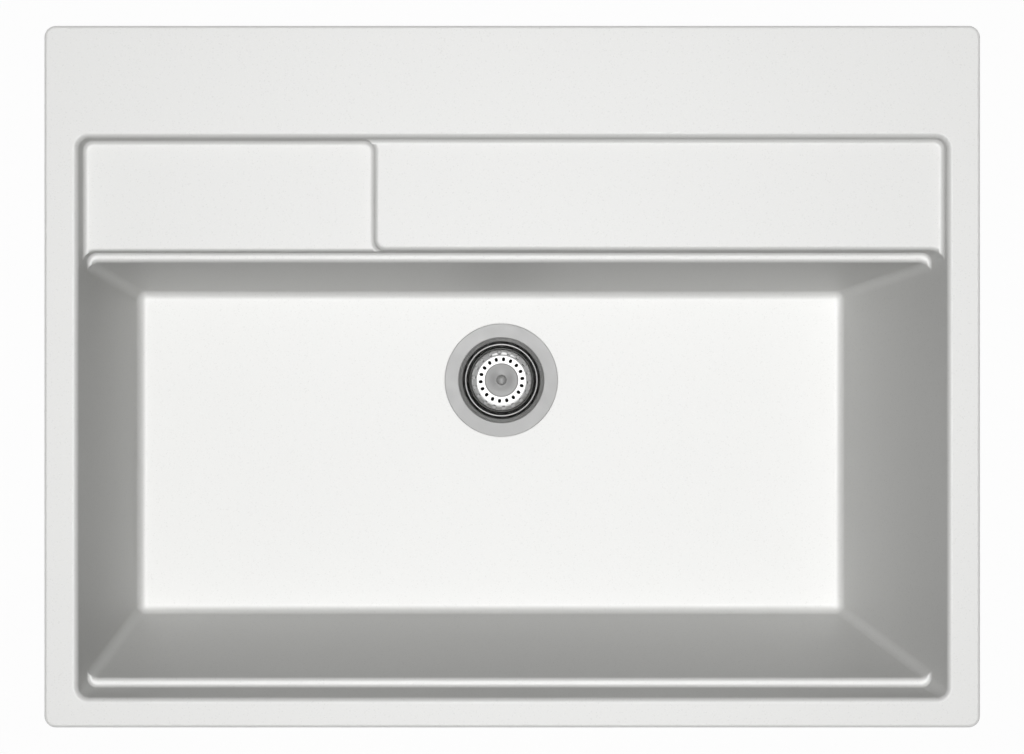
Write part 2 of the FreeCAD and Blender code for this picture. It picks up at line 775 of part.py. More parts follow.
def crosswise(strap, places):
    """Edges of the strap that run straight across it at these (x, z) places."""
    found = []
    for x, z in places:
        level = [e for e in edges_at(strap, z) if e.BoundBox.XLength < 0.001]
        found += [e for e in level if abs(e.CenterOfMass.x - x) < 0.001]
    return found


def clamp_claw():
    """Bent strap: a foot on the screw, an upright leg and a toothed tip that bites under the worktop."""
    half = claw_width / 2
    leg_outer = claw_reach + claw_sheet
    tip_end = claw_reach + claw_tip_length
    tip_z = claw_top_z + claw_leg_height
    outline = [
        (-claw_heel, washer_top_z),
        (leg_outer, washer_top_z),
        (leg_outer, tip_z - claw_sheet),
        (tip_end, tip_z - claw_sheet),
        (tip_end, tip_z),
        (claw_reach, tip_z),
        (claw_reach, claw_top_z),
        (-claw_heel, claw_top_z),
    ]
    corners = [Vector(x, -half, z) for x, z in outline]
    strap = Part.Face(Part.makePolygon(corners + corners[:1])).extrude(Vector(0, claw_width, 0))
    outer_bends = [(leg_outer, washer_top_z), (claw_reach, tip_z)]
    inner_bends = [(claw_reach, claw_top_z), (leg_outer, tip_z - claw_sheet)]
    strap = strap.makeFillet(claw_bend_radius, crosswise(strap, outer_bends))
    strap = strap.makeFillet(claw_bend_radius - claw_sheet, crosswise(strap, inner_bends))
    heel = [e for e in uprights(strap) if abs(e.CenterOfMass.x + claw_heel) < 0.01]
    strap = strap.makeFillet(claw_heel_rounding, heel)
    pitch = (claw_tip_length - claw_bend_radius) / claw_tooth_count
    for i in range(claw_tooth_count):
        x = claw_reach + claw_bend_radius + (i + 0.5) * pitch
        notch = Part.makePolygon(
            [
                Vector(x - claw_tooth, -half, tip_z),
                Vector(x, -half, tip_z - claw_tooth),
                Vector(x + claw_tooth, -half, tip_z),
                Vector(x - claw_tooth, -half, tip_z),
            ]
        )
        strap = strap.cut(Part.Face(notch).extrude(Vector(0, claw_width, 0)))
    return strap.cut(disc(screw_radius + loose_fit, washer_top_z - 1.0, claw_top_z + 1.0))


# --- Output ---------------------------------------------------------------------------------------
def save(name, shape):
    """Write one piece and say what it measures."""
    solids = shape.Solids
    valid = all(solid.isValid() for solid in solids)
    print(f"{name}: {len(solids)} solids, {shape.Volume / 1000:.2f} cm3, valid {valid}")
    out = solids[0] if len(solids) == 1 else Part.makeCompound(solids)
    out.exportStep(f"parts/{name}.step")


def main():
    """Make every piece."""
    os.makedirs("parts", exist_ok=True)
    save("sink_body", sink_body())
    save("rim_strip", strip(0.0))
    save("strainer_cup", strainer_cup())
    save("flange_seal", flange_seal())
    save("body_seal", body_seal())
    save("waste_body", waste_body())
    save("body_insert", body_insert())
    save("centre_bolt", centre_bolt())
    save("basket", basket())
    save("basket_plate", basket_plate())
    save("basket_spacer", basket_spacer())
    save("basket_knob", basket_knob())
    save("basket_stem", basket_stem())
    save("stem_clip", stem_clip())
    save("basket_seal", basket_seal())
    save("outlet_seal", outlet_seal())
    save("outlet_nut", outlet_nut())
    save("tail_pipe", tail_pipe())
    places = clamp_places()
    save("clamp_inserts", Part.makeCompound([at_clamp(clamp_insert(), place) for place in places]))
    for number, place in enumerate(places, start=1):
        save(f"clamp_screw_{number}", at_clamp(clamp_screw(), place))
        save(f"clamp_washer_{number}", at_clamp(clamp_washer(), place))
        save(f"clamp_claw_{number}", at_clamp(clamp_claw(), place))


main()
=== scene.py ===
"""Looks of an inset kitchen sink: white composite moulding, steel basket strainer, waste set and clamps.

Everything is in metres and in the part's own frame: +X right, +Y towards the tap side, +Z up, with the
origin at the centre of the rim's underside.
"""
import logging
import math
from dataclasses import dataclass, field
from enum import Enum
from typing import Callable, Iterable, Optional, Sequence

import bpy
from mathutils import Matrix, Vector


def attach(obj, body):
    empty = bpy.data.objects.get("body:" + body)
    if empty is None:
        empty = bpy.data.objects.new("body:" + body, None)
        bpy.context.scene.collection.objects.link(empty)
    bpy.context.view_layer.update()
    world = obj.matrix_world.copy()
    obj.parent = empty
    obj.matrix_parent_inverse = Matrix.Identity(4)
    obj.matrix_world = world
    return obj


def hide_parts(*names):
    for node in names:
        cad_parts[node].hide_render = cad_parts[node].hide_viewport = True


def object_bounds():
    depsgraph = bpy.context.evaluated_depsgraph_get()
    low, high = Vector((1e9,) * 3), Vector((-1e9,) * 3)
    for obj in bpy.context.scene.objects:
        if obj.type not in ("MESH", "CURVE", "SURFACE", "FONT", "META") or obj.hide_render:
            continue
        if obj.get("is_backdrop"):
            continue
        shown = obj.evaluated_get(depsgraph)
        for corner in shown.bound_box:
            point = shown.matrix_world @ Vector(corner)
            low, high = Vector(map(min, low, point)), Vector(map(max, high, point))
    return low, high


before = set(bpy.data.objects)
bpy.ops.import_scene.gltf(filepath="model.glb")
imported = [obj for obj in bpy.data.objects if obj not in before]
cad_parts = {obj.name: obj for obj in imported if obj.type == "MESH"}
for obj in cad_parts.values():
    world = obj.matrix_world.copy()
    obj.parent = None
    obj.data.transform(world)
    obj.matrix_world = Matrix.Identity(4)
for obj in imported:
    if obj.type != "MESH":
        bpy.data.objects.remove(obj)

log = logging.getLogger("sink")
MM = 0.001
DRAIN_X = -10.7 * MM
DRAIN_Y = -3.4 * MM
FACET_SAG = 0.005 * MM   # how far a rounding's facets may stray from its arc
COARSEST_SAG = 0.1       # the same for the smallest roundings, as a share of their radius
POINT_GAP = 1e-7         # points of an outline closer than this are one
THREAD_GAP = 1e-6        # the same for a thread's mesh and for finding a point by its place
MESH_GAP = 2e-6          # the same for other meshes
CREST_START, CREST_END, ROOT_START = 0.38, 0.52, 0.90   # a thread's profile, in shares of its pitch


# --- Workbench: short calls around Blender's own modelling operators -------------------------------
@dataclass(frozen=True)
class Corner:
    """A corner of a turned or extruded outline.

    Attributes:
        across: Distance from the axis, or along the outline's first direction.
        z: Height.
        rounding: Radius of the rounding at this corner, or 0 for a sharp one.
    """

    across: float
    z: float
    rounding: float = 0.0


def corners_mm(*points: Sequence[float]) -> list[Corner]:
    """Corners from (across, z) or (across, z, rounding) points in millimetres.

    Args:
        points: The outline's points, in order.

    Returns:
        The corners in metres.
    """
    return [Corner(*(value * MM for value in point)) for point in points]


def put_down() -> None:
    """Leave edit mode and select nothing."""
    active = bpy.context.view_layer.objects.active
    if active is not None and active.mode != "OBJECT":
        bpy.ops.object.mode_set(mode="OBJECT")
    bpy.ops.object.select_all(action="DESELECT")


def pick_up(piece: bpy.types.Object) -> None:
    """Make one piece the only selected and the active one.

    Args:
        piece: The piece.
    """
    put_down()
    piece.select_set(True)
    bpy.context.view_layer.objects.active = piece


def open_mesh(piece: bpy.types.Object, action: str = "DESELECT") -> None:
    """Enter edit mode on vertices.

    Args:
        piece: The piece to work on.
        action: DESELECT to start with nothing selected, SELECT with everything.
    """
    pick_up(piece)
    bpy.ops.object.mode_set(mode="EDIT")
    bpy.ops.mesh.select_mode(type="VERT")
    bpy.ops.mesh.select_all(action=action)


def weld(gap: float) -> None:
    """Merge the points of the whole open mesh that lie closer than a gap.

    Args:
        gap: The widest distance that is merged.
    """
    bpy.ops.mesh.select_all(action="SELECT")
    bpy.ops.mesh.remove_doubles(threshold=gap)


def face_outward() -> None:
    """Turn every face of the open mesh outward."""
    bpy.ops.mesh.select_all(action="SELECT")
    bpy.ops.mesh.normals_make_consistent(inside=False)


def choose_vertices(piece: bpy.types.Object, test: Callable[[Vector], bool]) -> int:
    """Select the vertices whose place passes a test, and enter edit mode.

    Args:
        piece: The piece to work on.
        test: Says of a vertex's place whether it is wanted.

    Returns:
        How many vertices were selected.
    """
    open_mesh(piece)
    bpy.ops.object.mode_set(mode="OBJECT")
    count = 0
    for vertex in piece.data.vertices:
        vertex.select = bool(test(piece.matrix_world @ vertex.co))
        count += vertex.select
    bpy.ops.object.mode_set(mode="EDIT")
    return count


def settle(piece: bpy.types.Object, name: str) -> bpy.types.Object:
    """Name a piece and put its place into its mesh.

    Args:
        piece: The piece.
        name: Its new name.

    Returns:
        The same piece, at the origin, unturned and unscaled.
    """
    pick_up(piece)
    bpy.ops.object.transform_apply(location=True, rotation=True, scale=True)
    piece.name = name
    piece.data.name = name
    return piece


def apply_modifier(piece: bpy.types.Object, kind: str, **settings: object) -> None:
    """Add a modifier, set it up and apply it.

    Args:
        piece: The piece to change.
        kind: The modifier's type.
        settings: Its settings by name.
    """
    pick_up(piece)
    bpy.ops.object.modifier_add(type=kind)
    modifier = piece.modifiers[-1]
    for key, value in settings.items():
        setattr(modifier, key, value)
    bpy.ops.object.modifier_apply(modifier=modifier.name)


def soften_shading(piece: bpy.types.Object, degrees: float = 32.0) -> None:
    """Shade a piece smooth up to an angle, with each normal leaning towards the larger face.

    Args:
        piece: The piece.
        degrees: Edges that turn more than this stay sharp.
    """
    pick_up(piece)
    bpy.ops.object.shade_smooth_by_angle(angle=math.radians(degrees))
    apply_modifier(piece, "WEIGHTED_NORMAL", keep_sharp=True, weight=50)


def round_edges(piece: bpy.types.Object, width: float, degrees: float = 40.0, segments: int = 2) -> None:
    """Round every edge that turns more than an angle.

    Args:
        piece: The piece.
        width: Width of the rounding.
        degrees: Edges that turn less are left alone.
        segments: Facets across the rounding.
    """
    apply_modifier(
        piece,
        "BEVEL",
        width=width,
        segments=segments,
        limit_method="ANGLE",
        angle_limit=math.radians(degrees),
        use_clamp_overlap=True,
        miter_outer="MITER_ARC",
    )


def start_point(x: float, y: float, z: float) -> bpy.types.Object:
    """A small plane drawn together to one point, from which an outline is extruded.

    Args:
        x: Place along X.
        y: Place along Y.
        z: Height.

    Returns:
        The piece, in edit mode, with its one vertex selected.
    """
    put_down()
    bpy.ops.mesh.primitive_plane_add(size=MM, location=(x, y, z))
    piece = bpy.context.object
    bpy.ops.object.mode_set(mode="EDIT")
    bpy.ops.mesh.select_mode(type="VERT")
    bpy.ops.mesh.select_all(action="SELECT")
    bpy.ops.mesh.merge(type="CENTER")
    return piece


def traced(outline: Sequence[Corner], closed: bool, x: float = 0.0, y: float = 0.0) -> bpy.types.Object:
    """An outline in the XZ plane, extruded point by point, with its corners rounded.

    Args:
        outline: The corners, with across counted from x.
        closed: Whether the last corner joins the first.
        x: Where across is 0.
        y: Place along Y.

    Returns:
        The outline as a piece of edges, in edit mode.
    """
    first = outline[0]
    piece = start_point(x + first.across, y, first.z)
    path = list(outline) + ([first] if closed else [])
    for here, there in zip(path, path[1:]):
        step = (there.across - here.across, 0.0, there.z - here.z)
        bpy.ops.mesh.extrude_vertices_move(TRANSFORM_OT_translate={"value": step})
    weld(POINT_GAP)
    count = len(outline)
    for i, corner in enumerate(outline):
        if corner.rounding <= 0.0:
            continue
        before, after = outline[i - 1], outline[(i + 1) % count]
        back = Vector((before.across - corner.across, before.z - corner.z))
        ahead = Vector((after.across - corner.across, after.z - corner.z))
        reach = corner.rounding / math.tan(back.angle(ahead) / 2)
        spot = Vector((x + corner.across, y, corner.z))
        found = choose_vertices(piece, lambda place: (place - spot).length < THREAD_GAP)
        if found == 1:
            facet = 2 * math.acos(1 - min(COARSEST_SAG, FACET_SAG / corner.rounding))
            segments = max(2, math.ceil((math.pi - back.angle(ahead)) / facet))
            bpy.ops.mesh.bevel(offset=reach, segments=segments, affect="VERTICES")
    return piece


@dataclass(frozen=True)
class Lathe:
    """Turns outlines about an upright axis.

    Attributes:
        x: The axis's place along X.
        y: The axis's place along Y.
        steps: Facets around.
    """

    x: float = 0.0
    y: float = 0.0
    steps: int = 144

    def turn(self, name: str, outline: Sequence[Corner], closed: bool = True) -> bpy.types.Object:
        """Spin an outline a whole turn.

        Args:
            name: The piece's name.
            outline: Its corners, with across as the radius.
            closed: Whether the outline is a ring clear of the axis.

        Returns:
            The closed piece, with its place in its mesh.
        """
        piece = traced(outline, closed, self.x, self.y)
        self.sweep(360.0, self.steps)
        weld(MESH_GAP)
        face_outward()
        return settle(piece, name)

    def sweep(self, degrees: float, steps: int) -> None:
        """Spin the whole open mesh about the axis.

        Args:
            degrees: How far.
            steps: Facets on the way.
        """
        bpy.ops.mesh.select_all(action="SELECT")
        bpy.ops.mesh.spin(
            steps=steps, angle=math.radians(degrees), center=(self.x, self.y, 0.0), axis=(0.0, 0.0, 1.0)
        )

    def around(self, piece: bpy.types.Object, name: str, count: int, start: float = 0.0
               ) -> list[bpy.types.Object]:
        """Evenly turned copies of a piece about the axis, which take its place.

        Args:
            piece: What to copy. It is removed.
            name: The copies' name, before their number.
            count: How many.
            start: Degrees to the first copy.

        Returns:
            The copies.
        """
        copies = [
            copy_at(piece, f"{name}_{i}", turn=start + 360.0 / count * i, centre=(self.x, self.y, 0.0))
            for i in range(count)
        ]
        bpy.data.objects.remove(piece, do_unlink=True)
        return copies

    def thread(self, name: str, low: float, turns: int, pitch: float, crest: float, depth: float, steps: int
               ) -> bpy.types.Object:
        """A right-hand thread, closed at both ends.

        Args:
            name: The piece's name.
            low: Height at which it starts.
            turns: Whole turns.
            pitch: Rise in one turn.
            crest: Radius of its crest.
            depth: Depth from crest to root.
            steps: Facets in one turn.

        Returns:
            The thread as a closed piece.
        """
        root = crest - depth
        shape = [
            Corner(root, low),
            Corner(crest, low + CREST_START * pitch),
            Corner(crest, low + CREST_END * pitch),
            Corner(root, low + ROOT_START * pitch),
            Corner(root, low + pitch),
        ]
        piece = traced(shape, closed=False)
        settle(piece, name)
        apply_modifier(
            piece,
            "SCREW",
            angle=2 * math.pi,
            screw_offset=pitch,
            iterations=turns,
            steps=steps,
            render_steps=steps,
            use_merge_vertices=False,
        )
        open_mesh(piece)
        weld(THREAD_GAP)
        bpy.ops.mesh.select_all(action="DESELECT")
        bpy.ops.mesh.select_non_manifold()
        bpy.ops.mesh.fill_holes(sides=0)
        face_outward()
        pick_up(piece)
        piece.location = (self.x, self.y, 0.0)
        return settle(piece, name)


def copy_at(piece: bpy.types.Object, name: str, shift: Sequence[float] = (0, 0, 0), turn: float = 0.0,
            centre: Sequence[float] = (0, 0, 0)) -> bpy.types.Object:
    """A copy with its own mesh, turned about an upright axis and then shifted.

    Args:
        piece: What to copy.
        name: The copy's name.
        shift: How far it moves.
        turn: Turn in degrees, counter-clockwise from above.
        centre: A point on the axis of the turn.

    Returns:
        The copy, with its place in its mesh.
    """
    pick_up(piece)
    bpy.ops.object.duplicate()
    copy = bpy.context.object
    open_mesh(copy, "SELECT")
    if turn:
        angle = -math.radians(turn)
        bpy.ops.transform.rotate(value=angle, orient_axis="Z", center_override=tuple(centre))
    bpy.ops.transform.translate(value=tuple(shift))
    return settle(copy, name)


def join(pieces: Iterable[bpy.types.Object], name: str) -> bpy.types.Object:
    """Join pieces into one.

    Args:
        pieces: The pieces, the first of which is kept.
        name: The name of the whole.

    Returns:
        The joined piece.
    """
    group = list(pieces)
    pick_up(group[0])
    for piece in group[1:]:
        piece.select_set(True)
    bpy.ops.object.join()
    return settle(group[0], name)


def cut_away(piece: bpy.types.Object, cutter: bpy.types.Object) -> None:
    """Cut one piece out of another and remove the cutter.

    Args:
        piece: The piece that is cut.
        cutter: The closed shape that is taken away.
    """
    apply_modifier(piece, "BOOLEAN", operation="DIFFERENCE", solver="EXACT", object=cutter)
    bpy.data.objects.remove(cutter, do_unlink=True)


def from_cad(node: str, name: str) -> bpy.types.Object:
    """A merged copy of a CAD node's mesh, ready for rounding and smooth shading.

    Args:
        node: The CAD node.
        name: The copy's name.

    Returns:
        The copy.
    """
    put_down()
    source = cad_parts[node]
    copy = bpy.data.objects.new(name, source.data.copy())
    bpy.context.scene.collection.objects.link(copy)
    copy.data.name = name
    copy.data.materials.clear()
    pick_up(copy)
    bpy.ops.mesh.customdata_custom_splitnormals_clear()
    open_mesh(copy)
    weld(MESH_GAP)
    put_down()
    return copy


def clean_faces(piece: bpy.types.Object, degrees: float = 0.5) -> None:
    """Join coplanar triangles into whole faces.

    Args:
        piece: The piece.
        degrees: How far from flat a joined face may be.
    """
    open_mesh(piece, "SELECT")
    bpy.ops.mesh.dissolve_limited(angle_limit=math.radians(degrees))
    put_down()


# --- Finishes ---------------------------------------------------------------------------------------
class Grain(Enum):
    """How the fine lines of a metal finish run."""

    CIRCLES = "circles about the drain"
    RAYS = "rays from the drain"
    TUMBLED = "no direction"


MIDDLE = (0.3, 0.7)      # the range in which most of a noise's values lie


class Nodes:
    """A material's node tree, with short calls for what the finishes share."""

    def __init__(self, name: str) -> None:
        """Start a material with a principled shader.

        Args:
            name: The material's name.
        """
        self.material = bpy.data.materials.new(name)
        self.material.use_nodes = True
        self.tree = self.material.node_tree
        self.tree.nodes.clear()
        self.shader = self.add("ShaderNodeBsdfPrincipled")
        output = self.add("ShaderNodeOutputMaterial")
        self.link(self.shader.outputs["BSDF"], output.inputs["Surface"])
        self.place = self.add("ShaderNodeTexCoord").outputs["Object"]

    def add(self, kind: str, **settings: object) -> bpy.types.Node:
        """Add a node.

        Args:
            kind: The node's type.
            settings: Its properties by name.

        Returns:
            The node.
        """
        node = self.tree.nodes.new(kind)
        for key, value in settings.items():
            setattr(node, key, value)
        return node

    def link(self, source: bpy.types.NodeSocket, target: bpy.types.NodeSocket) -> None:
        """Join an output to an input.

        Args:
            source: The output.
            target: The input.
        """
        self.tree.links.new(source, target)

    def constants(self, **values: object) -> None:
        """Set sockets of the shader.

        Args:
            values: The values by socket, with underscores for the spaces in their names.
        """
        for key, value in values.items():
            self.shader.inputs[key.replace("_", " ")].default_value = value

    def noise(self, scale: float, detail: float = 2.0, place: Optional[bpy.types.NodeSocket] = None,
              roughness: float = 0.5) -> bpy.types.NodeSocket:
        """Noise of about 0 to 1.

        Args:
            scale: Features a metre.
            detail: Octaves.
            place: The coordinates, or None for the object's own.
            roughness: Strength of the finer octaves.

        Returns:
            The noise's value.
        """
        node = self.add("ShaderNodeTexNoise")
        node.inputs["Scale"].default_value = scale
        node.inputs["Detail"].default_value = detail
        node.inputs["Roughness"].default_value = roughness
        self.link(place or self.place, node.inputs["Vector"])
        return node.outputs["Fac"]

    def cells(self, scale: float, output: str = "Color") -> bpy.types.NodeSocket:
        """Cells of random size.

        Args:
            scale: Cells a metre.
            output: Color for a random colour in each cell, Distance for the way to its middle.

        Returns:
            The chosen output.
        """
        node = self.add("ShaderNodeTexVoronoi")
        node.inputs["Scale"].default_value = scale
        self.link(self.place, node.inputs["Vector"])
        return node.outputs[output]

    def spread(self, value: bpy.types.NodeSocket, low: float, high: float, start: float = 0.0,
               end: float = 1.0) -> bpy.types.NodeSocket:
        """Map a value from one range to another.

        Args:
            value: What is mapped.
            low: Result at start.
            high: Result at end.
            start: Value that gives low.
            end: Value that gives high.

        Returns:
            The mapped value.
        """
        node = self.add("ShaderNodeMapRange", clamp=True)
        node.inputs["From Min"].default_value = start
        node.inputs["From Max"].default_value = end
        node.inputs["To Min"].default_value = low
        node.inputs["To Max"].default_value = high
        self.link(value, node.inputs["Value"])
        return node.outputs["Result"]

    def colours(self, value: bpy.types.NodeSocket, stops: Sequence[tuple[float, Sequence[float]]]
                ) -> bpy.types.NodeSocket:
        """A colour ramp.

        Args:
            value: What picks the colour.
            stops: (position, linear colour) pairs.

        Returns:
            The colour.
        """
        ramp = self.add("ShaderNodeValToRGB")
        while len(ramp.color_ramp.elements) < len(stops):
            ramp.color_ramp.elements.new(0.5)
        for element, (position, colour) in zip(ramp.color_ramp.elements, stops):
            element.position = position
            element.color = (*colour, 1.0)
        self.link(value, ramp.inputs["Fac"])
        return ramp.outputs["Color"]

    def finish(self, colour: bpy.types.NodeSocket, relief: bpy.types.NodeSocket, depth: float,
               gloss: Optional[bpy.types.NodeSocket] = None) -> bpy.types.Material:
        """Wire what drives the shader.

        Args:
            colour: The base colour.
            relief: Height of the relief, about 0 to 1.
            depth: How deep a relief of 1 is.
            gloss: The roughness, or None where it is a constant.

        Returns:
            The material.
        """
        self.link(colour, self.shader.inputs["Base Color"])
        if gloss is not None:
            self.link(gloss, self.shader.inputs["Roughness"])
        node = self.add("ShaderNodeBump")
        node.inputs["Distance"].default_value = depth
        node.inputs["Strength"].default_value = 1.0
        self.link(relief, node.inputs["Height"])
        self.link(node.outputs["Normal"], self.shader.inputs["Normal"])
        return self.material

    def centred(self, x: float, y: float) -> bpy.types.NodeSocket:
        """The place counted from an upright axis, flattened to its plan.

        Args:
            x: The axis's place along X.
            y: The axis's place along Y.

        Returns:
            The flattened place.
        """
        node = self.add("ShaderNodeMapping")
        node.inputs["Location"].default_value = (-x, -y, 0.0)
        self.link(self.place, node.inputs["Vector"])
        flat = self.add("ShaderNodeVectorMath", operation="MULTIPLY")
        flat.inputs[1].default_value = (1.0, 1.0, 0.0)
        self.link(node.outputs["Vector"], flat.inputs[0])
        return flat.outputs["Vector"]


@dataclass(frozen=True)
class CompositeFinish:
    """Moulded granite composite: a matt, pale binder full of fine mineral grains.

    Attributes:
        name: The material's name.
        colour: The binder's linear colour.
        dark_grain: Linear colour of the darkest grains.
        grain: Size of a grain.
        roughness: Roughness of the face.
        relief: Depth of the fine relief.
        specular: Strength of the binder's gloss.
        refraction: Index of refraction of the gel coat.
        pale_gain: How much brighter than the binder the palest grains are.
        grain_shares: Shares of the grains up to which they are dark, and from which they are pale.
        cloud: Features a metre of the slow change of tone, and its darkest tone.
        gloss: Features a metre of the gloss, and how far the roughness strays.
        relief_scale: Features a metre of the relief.
    """

    name: str
    colour: tuple[float, float, float]
    dark_grain: tuple[float, float, float]
    grain: float = 0.9 * MM
    roughness: float = 0.58
    relief: float = 0.012 * MM
    specular: float = 1.0
    refraction: float = 1.75
    pale_gain: float = 1.03
    grain_shares: tuple[float, float] = (0.07, 0.85)
    cloud: tuple[float, float] = (9.0, 0.993)
    gloss: tuple[float, float] = (900.0, 0.02)
    relief_scale: float = 1500.0

    def material(self) -> bpy.types.Material:
        """Build the finish.

        Returns:
            The material.
        """
        nodes = Nodes(self.name)
        grains = nodes.add("ShaderNodeSeparateColor")
        nodes.link(nodes.cells(1.0 / self.grain), grains.inputs["Color"])
        pale = tuple(min(1.0, channel * self.pale_gain) for channel in self.colour)
        dark_end, pale_start = self.grain_shares
        speckle = nodes.colours(
            grains.outputs["Red"],
            [(0.0, self.dark_grain), (dark_end, self.colour), (pale_start, self.colour), (1.0, pale)],
        )
        cloud_scale, darkest = self.cloud
        tint = nodes.add("ShaderNodeVectorMath", operation="SCALE")
        nodes.link(speckle, tint.inputs[0])
        nodes.link(nodes.spread(nodes.noise(cloud_scale, 3.0), darkest, 1.0, *MIDDLE), tint.inputs["Scale"])
        gloss_scale, swing = self.gloss
        gloss = nodes.spread(
            nodes.noise(gloss_scale, 3.0), self.roughness - swing, self.roughness + swing, *MIDDLE
        )
        nodes.constants(IOR=self.refraction, Specular_IOR_Level=self.specular)
        return nodes.finish(tint.outputs["Vector"], nodes.noise(self.relief_scale, 3.0), self.relief, gloss)


@dataclass(frozen=True)
class MetalFinish:
    """Turned, brushed, polished or plated metal.

    Attributes:
        name: The material's name.
        colour: Linear colour.
        roughness: Middle roughness.
        grain: How its fine lines run.
        lines: Lines or spots a metre.
        relief: Depth of the lines.
        line_shade: Tone of the darker lines, as a share of the colour.
        swing: How far the roughness strays, as a share of it.
        smear: Features a metre of the wipe marks, and how much they add to the lines.
    """

    name: str
    colour: tuple[float, float, float]
    roughness: float
    grain: Grain = Grain.TUMBLED
    lines: float = 3000.0
    relief: float = 0.002 * MM
    line_shade: float = 0.93
    swing: float = 0.25
    smear: tuple[float, float] = (70.0, 0.12)

    def streaks(self, nodes: Nodes) -> bpy.types.NodeSocket:
        """Noise drawn out along the grain.

        Args:
            nodes: The material being built.

        Returns:
            The noise's value.
        """
        if self.grain is Grain.TUMBLED:
            return nodes.noise(self.lines, detail=4.0, roughness=0.6)
        plan = nodes.centred(DRAIN_X, DRAIN_Y)
        if self.grain is Grain.RAYS:
            unit = nodes.add("ShaderNodeVectorMath", operation="NORMALIZE")
            nodes.link(plan, unit.inputs[0])
            return nodes.noise(self.lines * 0.02, detail=5.0, place=unit.outputs["Vector"], roughness=0.65)
        length = nodes.add("ShaderNodeVectorMath", operation="LENGTH")
        nodes.link(plan, length.inputs[0])
        ring = nodes.add("ShaderNodeCombineXYZ")
        nodes.link(length.outputs["Value"], ring.inputs["X"])
        return nodes.noise(self.lines, detail=5.0, place=ring.outputs["Vector"], roughness=0.65)

    def material(self) -> bpy.types.Material:
        """Build the finish.

        Returns:
            The material.
        """
        nodes = Nodes(self.name)
        streaks = self.streaks(nodes)
        darker = tuple(channel * self.line_shade for channel in self.colour)
        low, high = 0.25, 0.75
        line_part = 0.3
        smear_scale, smear_part = self.smear
        whole = line_part + smear_part
        mixed = nodes.add("ShaderNodeMath", operation="ADD")
        nodes.link(nodes.spread(streaks, -line_part, line_part, low, high), mixed.inputs[0])
        smear = nodes.spread(nodes.noise(smear_scale, 3.0), -smear_part, smear_part, *MIDDLE)
        nodes.link(smear, mixed.inputs[1])
        smooth, rough = self.roughness * (1 - self.swing), self.roughness * (1 + self.swing)
        gloss = nodes.spread(mixed.outputs["Value"], smooth, rough, -whole, whole)
        nodes.constants(Metallic=1.0)
        colour = nodes.colours(streaks, [(low, darker), (high, self.colour)])
        return nodes.finish(colour, streaks, self.relief, gloss)


@dataclass(frozen=True)
class MouldedFinish:
    """Moulded plastic or rubber with an eroded grain.

    Attributes:
        name: The material's name.
        colour: Linear colour.
        roughness: Middle roughness.
        grain: Size of the grain.
        relief: Depth of the grain.
        specular: Strength of its gloss.
        flow: Features a metre of the slow change of tone.
        tones: Its darkest and lightest tone, as shares of the colour.
        swing: How far the roughness strays.
    """

    name: str
    colour: tuple[float, float, float]
    roughness: float
    grain: float = 0.5 * MM
    relief: float = 0.01 * MM
    specular: float = 0.5
    flow: float = 35.0
    tones: tuple[float, float] = (0.9, 1.06)
    swing: float = 0.07

    def material(self) -> bpy.types.Material:
        """Build the finish.

        Returns:
            The material.
        """
        nodes = Nodes(self.name)
        darker, lighter = (tuple(min(1.0, channel * tone) for channel in self.colour) for tone in self.tones)
        colour = nodes.colours(nodes.noise(self.flow, 3.0), list(zip(MIDDLE, (darker, lighter))))
        grain = nodes.noise(1.0 / self.grain)
        gloss = nodes.spread(grain, self.roughness - self.swing, self.roughness + self.swing, *MIDDLE)
        nodes.constants(Specular_IOR_Level=self.specular)
        return nodes.finish(colour, grain, self.relief, gloss)


@dataclass(frozen=True)
class FoamFinish:
    """Closed-cell foam with small open pits on its cut faces.

    Attributes:
        name: The material's name.
        colour: Linear colour.
        cell: Size of a cell.
        relief: Depth of a pit.
        roughness: Roughness of its skin.
        specular: Strength of its gloss.
        painted_pit_shade: Painted shade in a pit: how dark its middle is painted, as a share of the colour.
    """

    name: str
    colour: tuple[float, float, float]
    cell: float = 0.7 * MM
    relief: float = 0.12 * MM
    roughness: float = 0.92
    specular: float = 0.2
    painted_pit_shade: float = 0.5

    def material(self) -> bpy.types.Material:
        """Build the finish.

        Returns:
            The material.
        """
        nodes = Nodes(self.name)
        pits = nodes.cells(1.0 / self.cell, output="Distance")
        # The pits' middles are painted darker than the foam: painted shade in the hollow cells.
        pit_painted_shade_colour = tuple(channel * self.painted_pit_shade for channel in self.colour)
        nodes.constants(Roughness=self.roughness, Specular_IOR_Level=self.specular)
        return nodes.finish(nodes.colours(pits, [(0.1, pit_painted_shade_colour), (0.6, self.colour)]), pits, self.relief)


